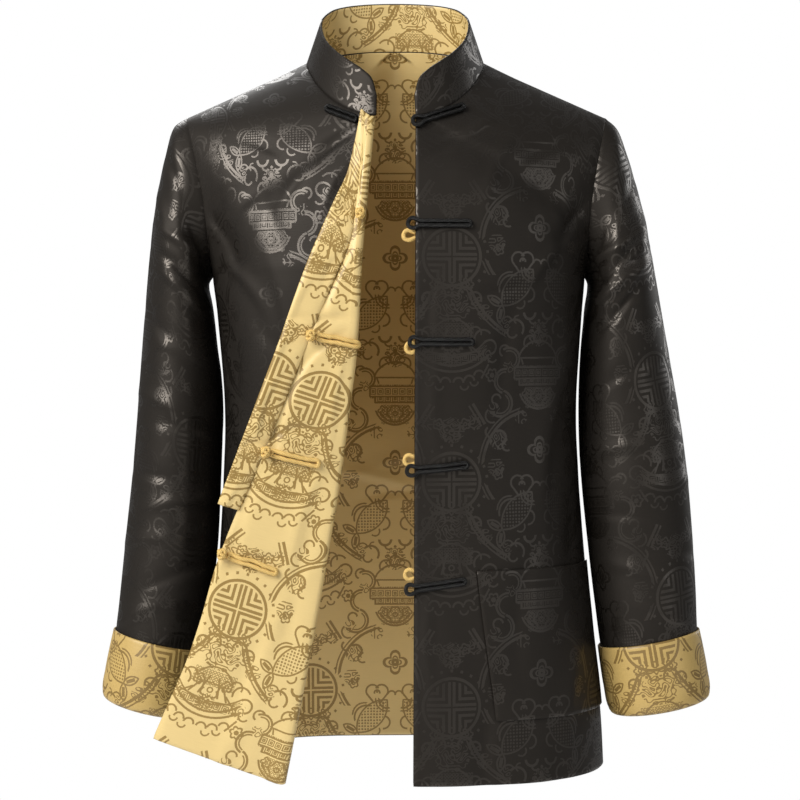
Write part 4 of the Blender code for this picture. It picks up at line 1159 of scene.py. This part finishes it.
def hairpin(length):
    """A doubled cord seen flat, with a ring at its near end."""
    start = math.asin(CORD_HALF_SPACING / LOOP_RADIUS) + LOOP_MOUTH
    turn = np.linspace(start, 2 * math.pi - start, LOOP_STEPS)
    ring = LOOP_RADIUS * np.stack([np.cos(turn), np.sin(turn)], axis=-1)
    return np.vstack([ring, *runs_of_cord(LOOP_RADIUS + LOOP_NECK, length)[:3]])


def stadium(start, length):
    """A doubled cord seen flat, with a turn at each end."""
    lower, far, upper, rounded = runs_of_cord(start + CORD_HALF_SPACING, length)
    return np.vstack([lower, far, upper, [start + CORD_HALF_SPACING, 0] - rounded])


def laid_on(tree, flat, frog, lift, toward, limit_x):
    """Lays a flat path on a panel: each point is dropped on it along Y and lifted off its face.

    Where the path runs past the panel's edge, it keeps the height that it has at the edge.
    """
    start = np.array([frog.x, frog.z], float)
    along = (np.array([frog.end_x, frog.end_z]) - start) / length_of(frog)
    aside = np.array([-along[1], along[0]])
    placed = []
    for distance, offset in flat:
        x, z = start + along * distance + aside * offset
        cast_x = max(x, limit_x)
        origin = Vector((cast_x, FRONT_OF_ALL if toward > 0 else INSIDE, z))
        hit, normal, _, _ = tree.ray_cast(origin, Vector((0, toward, 0)))
        if hit is None:
            hit, normal, _, _ = tree.find_nearest(Vector((cast_x, NECK_FRONT[0].y, z)))
        normal *= -math.copysign(1, normal.y * toward)
        placed.append(np.array(hit) + np.array(normal) * lift + [x - cast_x, 0, 0])
    return np.array(placed)


def tree_of(body):
    corners = [v.co / MM for v in body.data.vertices]
    return BVHTree.FromPolygons(corners, [tuple(face.vertices) for face in body.data.polygons])


def length_of(frog):
    return math.hypot(frog.end_x - frog.x, frog.end_z - frog.z)


def smooth_path(path, count):
    """Points evenly spaced along a closed smooth curve through a path, and the curve's length."""
    around = np.vstack([path[-2:], path, path[:3]])
    fine = curve_through(around, (len(around) - 1) * PATH_STEPS + 1)
    fine = fine[2 * PATH_STEPS:(2 + len(path)) * PATH_STEPS + 1]
    distance = walked(fine)
    return interpolated(fine, distance, np.linspace(0, distance[-1], count + 1)[:-1]), distance[-1]


def braided(name, path, radius, look, step=CORD_STEP):
    """A closed cord of twisted strands along a closed path."""
    length = steps(np.vstack([path, path[:1]])).sum()
    count = max(LEAST_RINGS, int(length / step))
    line, length = smooth_path(path, count)
    ahead = unit(np.roll(line, -1, axis=0) - np.roll(line, 1, axis=0))
    side = unit(np.cross(ahead, np.array([0.0, 1.0, 0.0])))
    up = np.cross(side, ahead)
    turn = np.arange(CORD_FACETS) * 2 * math.pi / CORD_FACETS
    twists = max(1, round(length / STRAND_PITCH))
    phase = np.arange(count)[:, None] * 2 * math.pi * twists / count
    swell = np.abs(np.cos((turn[None] * STRANDS + phase) / 2)) - STRAND_MEAN
    reach = radius * (1 + STRAND_DEPTH * swell)
    round_turn = side[:, None] * np.cos(turn)[None, :, None] + up[:, None] * np.sin(turn)[None, :, None]
    rings = line[:, None] + reach[..., None] * round_turn
    return linked(name, tube_mesh(name, rings, length, radius, look))


def tube_mesh(name, rings, length, radius, look):
    count, around = rings.shape[:2]
    faces, places = [], []
    for i in range(count):
        for j in range(around):
            k, n = (j + 1) % around, (i + 1) % count
            faces.append((i * around + j, n * around + j, n * around + k, i * around + k))
            places += [(i, j), (i + 1, j), (i + 1, j + 1), (i, j + 1)]
    scale = np.array([length / count, 2 * math.pi * radius / around])
    mesh = smooth_mesh(name, rings.reshape(-1, 3), faces, np.array(places) * scale, [look])
    body = bmesh.new()
    body.from_mesh(mesh)
    if body.calc_volume(signed=True) < 0:
        bmesh.ops.reverse_faces(body, faces=body.faces)
    return written(body, mesh)


def written(body, mesh):
    body.to_mesh(mesh)
    body.free()
    return mesh


def knot_path(seat):
    """A cord wound over and under itself round a ball, as a closed curve."""
    turn = np.linspace(0, 2 * math.pi, KNOT_STEPS, endpoint=False)
    rise = KNOT_REACH * np.sin(KNOT_BIGHTS * turn)
    # Where two strands cross, one is lifted and the other is pressed in
    lift = KNOT_WEAVE * np.cos(2 * KNOT_BIGHTS * turn - math.pi / KNOT_TURNS)
    reach = KNOT_RADIUS - KNOT_CORD - KNOT_WEAVE + lift
    spin = KNOT_TURNS * turn
    ball = np.stack([np.sin(rise), np.cos(rise) * np.cos(spin), np.cos(rise) * np.sin(spin)], axis=-1)
    return seat + reach[:, None] * ball


def knot(name, seat, look):
    """The wound cord and a core inside it, as one piece."""
    wound = braided("wound", knot_path(seat), KNOT_CORD, look, step=KNOT_CORD_STEP)
    core = bmesh.new()
    core_radius = KNOT_RADIUS - 2 * KNOT_CORD
    bmesh.ops.create_icosphere(core, subdivisions=CORE_FINENESS, radius=core_radius * MM)
    bmesh.ops.translate(core, verts=core.verts, vec=Vector(seat * MM))
    for face in core.faces:
        face.smooth = True
    core.loops.layers.uv.new("cloth")
    body = bmesh.new()
    body.from_mesh(wound.data)
    body.from_mesh(written(core, bpy.data.meshes.new("core")))
    mesh = written(body, bpy.data.meshes.new(name))
    mesh.materials.append(look)
    bpy.data.objects.remove(wound)
    return linked(name, mesh)


def all_frogs(left_tree, right_tree, black, gold):
    for look, frogs, toward, kind in ((black, BLACK_LOOPS, 1, "black"), (gold, GOLD_LOOPS, -1, "gold")):
        for number, frog in enumerate(frogs, 1):
            edge = front_edge(frog.z) + lean_at(frog.z) + EDGE_INSET
            path = laid_on(left_tree, hairpin(length_of(frog)), frog, LIFT, toward, edge)
            made = braided(f"loop_{kind}_cord_{number}", path, CORD_RADIUS, look)
            place(made, [f"loop_{kind}_{number}"], f"{kind}_cord")
    start = KNOT_RADIUS + SEAM_GAP + CORD_RADIUS
    for number, frog in enumerate(GOLD_KNOTS, 1):
        limit_x = frog.x + KNOT_RADIUS / 2
        if frog.end_x - frog.x > start:
            path = laid_on(right_tree, stadium(start - KNOT_OVERLAP, length_of(frog)), frog, LIFT, 1, limit_x)
            made = braided(f"frog_gold_cord_{number}", path, CORD_RADIUS, gold)
            place(made, [f"cord_gold_{number}"], "gold_cord")
        seat = laid_on(right_tree, [(0, 0)], frog, KNOT_RADIUS + 2 * SEAM_GAP, 1, limit_x)[0]
        place(knot(f"knot_gold_ball_{number}", seat, gold), [f"knot_gold_{number}"], "gold_cord")
    flat = stadium(0.0, length_of(NECK_CORD))
    path = laid_on(right_tree, flat, NECK_CORD, LIFT, 1, NECK_CORD.end_x - KNOT_RADIUS)
    place(braided("neck_black_cord", path, CORD_RADIUS, black), ["cord_black_1"], "black_cord")


class Tree:
    """Adds shader nodes to a node tree and links them, so that a formula reads as one."""

    def __init__(self, tree):
        self.nodes = tree.nodes
        self.links = tree.links

    def put(self, kind, inputs=(), **settings):
        node = self.nodes.new("ShaderNode" + kind)
        for key, value in settings.items():
            setattr(node, key, value)
        self.set(node, inputs)
        return node

    def set(self, node, inputs):
        """Links or fills a node's inputs."""
        for key, value in dict(inputs).items():
            if isinstance(value, bpy.types.NodeSocket):
                self.links.new(value, node.inputs[key])
            else:
                node.inputs[key].default_value = value

    def math(self, operation, *values):
        return self.put("Math", enumerate(values), operation=operation).outputs[0]

    def vector(self, operation, *values):
        node = self.put("VectorMath", enumerate(values), operation=operation)
        return node.outputs["Value" if operation in ("DISTANCE", "DOT_PRODUCT", "LENGTH") else "Vector"]

    def times(self, one, two):
        return self.math("MULTIPLY", one, two)

    def near(self, value, middle, reach):
        return self.math("COMPARE", value, middle, reach)

    def between(self, share, low, high):
        return self.math("MULTIPLY_ADD", share, high - low, low)

    def largest(self, drawn, more):
        for one in more:
            drawn = self.math("MAXIMUM", one, drawn)
        return drawn

    def within(self, point, x, y, radius):
        return self.math("LESS_THAN", self.vector("DISTANCE", point, (x, y, 0)), radius)

    def split(self, vector):
        return self.put("SeparateXYZ", {0: vector}).outputs

    def joined(self, x, y):
        return self.put("CombineXYZ", {0: x, 1: y}).outputs[0]

    def noise(self, vector, scale, detail, output="Fac"):
        return self.put("TexNoise", {"Vector": vector, "Scale": scale, "Detail": detail}).outputs[output]

    def cells(self, vector, pitch, uneven, shape="EUCLIDEAN"):
        """Distance from the middle of the nearest of many cells."""
        inputs = {"Vector": vector, "Scale": 1 / pitch, "Randomness": uneven}
        return self.put("TexVoronoi", inputs, feature="F1", distance=shape).outputs["Distance"]

    def scaled(self, colour, share):
        return self.put("VectorMath", {0: colour, "Scale": share}, operation="SCALE").outputs[0]

    def relief(self, strength, distance, height):
        return self.put("Bump", {"Strength": strength, "Distance": distance, "Height": height}).outputs[0]


def facing_of(degrees):
    turn = math.radians(degrees)
    return math.cos(turn), math.sin(turn), 0.0


def dot(a, b):
    return sum(x * y for x, y in zip(a, b))


def stroke_arc(t, point, arc):
    distance = t.vector("DISTANCE", point, (arc.x, arc.y, 0))
    drawn = t.near(distance, arc.radius, arc.width * BOLD / 2)
    if arc.cut <= -1:
        return drawn
    way = facing_of(arc.facing)
    least = dot(way, (arc.x, arc.y, 0)) + arc.cut * arc.radius
    return t.times(drawn, t.math("GREATER_THAN", t.vector("DOT_PRODUCT", point, way), least))


def stroke_bar(t, point, bar):
    within = []
    for turn, reach in ((bar.facing, bar.half_length), (bar.facing + 90, bar.width * BOLD / 2)):
        way = facing_of(turn)
        within.append(t.near(t.vector("DOT_PRODUCT", point, way), dot(way, (bar.x, bar.y, 0)), reach))
    return t.times(*within)


def stroke_disc(t, point, disc):
    return t.within(point, *disc)


def angle_round(t, point, x, y):
    """Distance and angle of the point from a middle, and how far it lies across and up."""
    apart = t.vector("SUBTRACT", point, (x, y, 0))
    split = t.split(apart)
    return t.vector("LENGTH", apart), t.math("ARCTAN2", split[1], split[0]), split


def stroke_rosette(t, point, rosette):
    distance, angle, _ = angle_round(t, point, rosette.x, rosette.y)
    wave = t.math("ABSOLUTE", t.math("COSINE", t.times(angle, rosette.petals / 2)))
    rim = t.math("MULTIPLY_ADD", wave, rosette.depth, rosette.radius - rosette.depth / 2)
    outline = t.near(distance, rim, rosette.width * BOLD / 2)
    return t.math("MAXIMUM", outline, t.near(distance, rosette.radius * ROSETTE_HEART, rosette.width / 2))


def medallion(t, point):
    """Frets in four quarters inside the rim, and a ring of dots outside."""
    distance, angle, split = angle_round(t, point, *MEDALLION)
    nearest = t.math("MINIMUM", t.math("ABSOLUTE", split[0]), t.math("ABSOLUTE", split[1]))
    frets = t.math("FRACT", t.math("MULTIPLY_ADD", nearest, 1 / FRET_STEP, FRET_START))
    inside = t.math("LESS_THAN", distance, MEDALLION_RADIUS - MEDALLION_MARGIN)
    dots = t.near(t.math("FRACT", t.times(angle, MEDALLION_DOTS / (2 * math.pi))), 0.5, DOT_HALF_TURN)
    ring = t.near(distance, MEDALLION_RADIUS + DOTS_OUTSIDE, DOT_HALF)
    return [t.times(t.math("LESS_THAN", frets, FRET_SHARE), inside), t.times(dots, ring)]


def carp_scales(t, point):
    """Rows of dots within the carp's body."""
    dots = t.math("LESS_THAN", t.cells(point, SCALE_PITCH, SCALE_UNEVEN), SCALE_SIZE)
    return t.times(t.times(*(t.within(point, *round_part) for round_part in CARP_BODY)), dots)


def fillings(t, point, curl_point):
    """Small frets and dots in the vase and the basket, and curls in the clusters."""
    net = t.near(t.cells(point, NET_PITCH, NET_UNEVEN), *NET_RING)
    squares = t.cells(point, SQUARE_PITCH, 0.0, "CHEBYCHEV")
    fret = t.math("MAXIMUM", *(t.near(squares, *ring) for ring in SQUARE_RINGS))
    grain = t.noise(curl_point, CURL_SIZE, 0.0)
    curls = t.near(t.math("FRACT", t.times(grain, CURL_TURNS)), 0.5, CURL_HALF)
    patch = t.largest(0.0, [stroke_disc(t, point, row) for row in CLUSTERS])
    fields = {"fret": fret, "net": net}
    filled = [t.times(stroke_bar(t, point, bar), fields[kind]) for kind, bar in FILLED]
    return [t.times(patch, curls), *filled]


def strokes_of(t, point, tables):
    kinds = (stroke_arc, stroke_bar, stroke_disc, stroke_rosette)
    return [stroke(t, point, row) for stroke, rows in zip(kinds, tables) for row in rows]


def make_pattern():
    """Node group of the woven pattern: 1 on its lines and 0 on the ground."""
    group = bpy.data.node_groups.new("woven_pattern", "ShaderNodeTree")
    for name, way in (("Across", "INPUT"), ("Up", "INPUT"), ("Line", "OUTPUT")):
        group.interface.new_socket(name, in_out=way, socket_type="NodeSocketFloat")
    t = Tree(group)
    given = group.nodes.new("NodeGroupInput").outputs
    across = t.math("PINGPONG", given["Across"], PATTERN_HALF)
    point = t.joined(across, t.math("WRAP", given["Up"], CROSSING_BASE + PATTERN_RISE, CROSSING_BASE))
    drawn = t.largest(0.0, strokes_of(t, point, (CROSSING_ARCS, CROSSING_BARS, CROSSING_DISCS)))
    drawn = t.largest(drawn, (*medallion(t, point), carp_scales(t, point)))
    rise = t.math("WRAP", given["Up"], PATTERN_BASE + PATTERN_RISE, PATTERN_BASE)
    point = t.joined(across, rise)
    drawn = t.largest(drawn, strokes_of(t, point, (ARCS, BARS, DISCS, ROSETTES)))
    unmirrored = t.math("WRAP", given["Across"], CURL_EDGE + 2 * PATTERN_HALF, CURL_EDGE)
    drawn = t.largest(drawn, fillings(t, point, t.joined(unmirrored, rise)))
    t.set(group.nodes.new("NodeGroupOutput"), {"Line": drawn})
    return group


def new_look(name):
    """A material, its tree and shader, and the cloth's flat coordinates in millimetres."""
    made = bpy.data.materials.new(name)
    made.use_nodes = True
    t = Tree(made.node_tree)
    uv = t.put("UVMap", uv_map="cloth").outputs[0]
    return made, t, t.nodes["Principled BSDF"], t.vector("MULTIPLY", uv, (1 / MM, 1 / MM, 0))


def brocade(name, pattern, look):
    """Satin ground with woven lines: colours, roughness and gloss follow the pattern, and the relief follows
    the threads.
    """
    made, t, shader, mm = new_look(name)
    wander = t.noise(mm, WANDER_SCALE, 1.0, "Color")
    split = t.split(t.vector("MULTIPLY_ADD", wander, (THREAD_WANDER, THREAD_WANDER, 0), mm))
    woven = t.put("Group", node_tree=pattern)
    t.set(woven, {"Across": split[0], "Up": split[1]})
    line = woven.outputs["Line"]
    # Threads: uneven fine ribs, long across the cloth and short along it
    slub = t.noise(t.vector("MULTIPLY", mm, RIBS), 1.0, 2.0)
    cloud = t.noise(mm, CLOUD_SCALE, 3.0)
    clouded = t.math("MULTIPLY_ADD", cloud, look.cloud, 1 - look.cloud / 2 - look.slub / 2)
    varied = t.math("MULTIPLY_ADD", slub, look.slub, clouded)
    # The colour sockets of a mix node come after its number and vector ones
    mix = t.put("Mix", {0: line, 6: (*look.ground, 1), 7: (*look.line, 1)}, data_type="RGBA")
    shader.inputs["Specular IOR Level"].default_value = look.ground_gloss
    t.set(shader, {
        "Base Color": t.scaled(mix.outputs[2], varied),
        "Roughness": t.between(line, look.ground_rough, look.line_rough),
        "Normal": t.relief(RIB_STRENGTH, RIB_DEPTH, slub),
        "Specular IOR Level": t.between(line, look.ground_gloss, look.line_gloss),
        "Specular Tint": (*look.gloss_tint, 1),
    })
    return made


def cord_look(name, colour, rough, gloss):
    """Braided cord: threads that cross on a slant, with painted shade that darkens the valleys between them.
    """
    made, t, shader, mm = new_look(name)
    split = t.split(mm)
    slants = (t.math(operation, split[0], split[1]) for operation in ("ADD", "SUBTRACT"))
    braid = t.math("MAXIMUM", *(t.math("SINE", t.times(slant, THREAD_TURN)) for slant in slants))
    t.set(shader, {
        # Base colour carries painted shade: darker in the valleys between the threads
        "Base Color": t.scaled(colour, t.math("MULTIPLY_ADD", braid, BRAID_PAINTED_SHADE_SWING, BRAID_PAINTED_SHADE_LEVEL)),
        "Normal": t.relief(BRAID_STRENGTH, BRAID_DEPTH, braid),
        "Roughness": rough,
        "Specular IOR Level": gloss,
    })
    return made


def make_camera():
    data = bpy.data.cameras.new("camera")
    data.sensor_width = SENSOR
    data.lens = SENSOR * -CAMERA_AT[1] / FRAME_WIDE
    data.clip_start, data.clip_end = CLIPPING
    camera = linked("camera", data)
    camera.location = CAMERA_AT
    camera.rotation_euler = (math.radians(90 - CAMERA_TILT), 0, 0)
    bpy.context.scene.camera = camera


def make_light(name, at, toward, size, power, colour):
    data = bpy.data.lights.new(name, "AREA")
    data.shape = "RECTANGLE"
    data.size, data.size_y = size
    data.energy = power
    data.color = colour
    light = linked(name, data)
    light.location = at
    light.rotation_euler = (Vector(toward) - Vector(at)).to_track_quat("-Z", "Y").to_euler()


def make_studio():
    world = bpy.data.worlds.new("studio")
    bpy.context.scene.world = world
    world.use_nodes = True
    t = Tree(world.node_tree)
    seen = t.put("LightPath").outputs["Is Camera Ray"]
    strength = t.between(seen, WORLD_LIGHT, WORLD_SEEN)
    t.set(t.nodes["Background"], {"Strength": strength, "Color": (1, 1, 1, 1)})
    look = bpy.data.materials.new("pale_floor")
    look.use_nodes = True
    shader = look.node_tree.nodes["Principled BSDF"]
    shader.inputs["Base Color"].default_value = (*FLOOR_COLOUR, 1)
    shader.inputs["Roughness"].default_value = FLOOR_ROUGH
    floor = bpy.data.meshes.new("floor")
    turn = np.linspace(0, 2 * math.pi, FLOOR_CORNERS, endpoint=False)
    rim = [(FLOOR_HALF * math.cos(a), FLOOR_HALF * math.sin(a), FLOOR_Z) for a in turn]
    floor.from_pydata(rim, [], [tuple(range(FLOOR_CORNERS))])
    floor.materials.append(look)
    made = linked("floor", floor)
    for light in LIGHTS:
        make_light(*light)
    bpy.context.scene.view_settings.view_transform = "Standard"


def build():
    pattern = make_pattern()
    black = brocade("black_brocade_cloth", pattern, BLACK_LOOK)
    gold = brocade("gold_brocade_cloth", pattern, GOLD_LOOK)
    ochre = brocade("ochre_brocade_cloth", pattern, OCHRE_LOOK)
    black_out = (black, gold, black)
    back_cloth(black_out)
    points, outward, uv, starts = front_left_grid()
    left = shell("front_left_cloth", points, outward, uv, black_out)
    place(left, ["front_left"], "black_brocade", *flat_of(points))
    pocket_cloth(points, outward, uv, starts, black_out)
    right = front_right_cloth((black, gold, black, gold), (black, gold, gold))
    collar_cloth(black_out)
    for side, sign, rings, folds, creases, shift in (
        ("left", 1, SLEEVE_LEFT, SLEEVE_LEFT_FOLDS, SLEEVE_LEFT_CREASES, SLEEVE_LEFT_SHIFT),
        ("right", -1, SLEEVE_RIGHT, SLEEVE_RIGHT_FOLDS, SLEEVE_RIGHT_CREASES, SLEEVE_RIGHT_SHIFT),
    ):
        sleeve_cloth(side, sign, rings, folds, creases, shift, black_out)
        cuff_cloth(side, sign, rings, (ochre, black, ochre))
    cords = cord_look("black_braid", *BLACK_BRAID), cord_look("gold_braid", *GOLD_BRAID)
    all_frogs(tree_of(left), tree_of(right), *cords)


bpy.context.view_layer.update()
make_camera()
make_studio()
build()
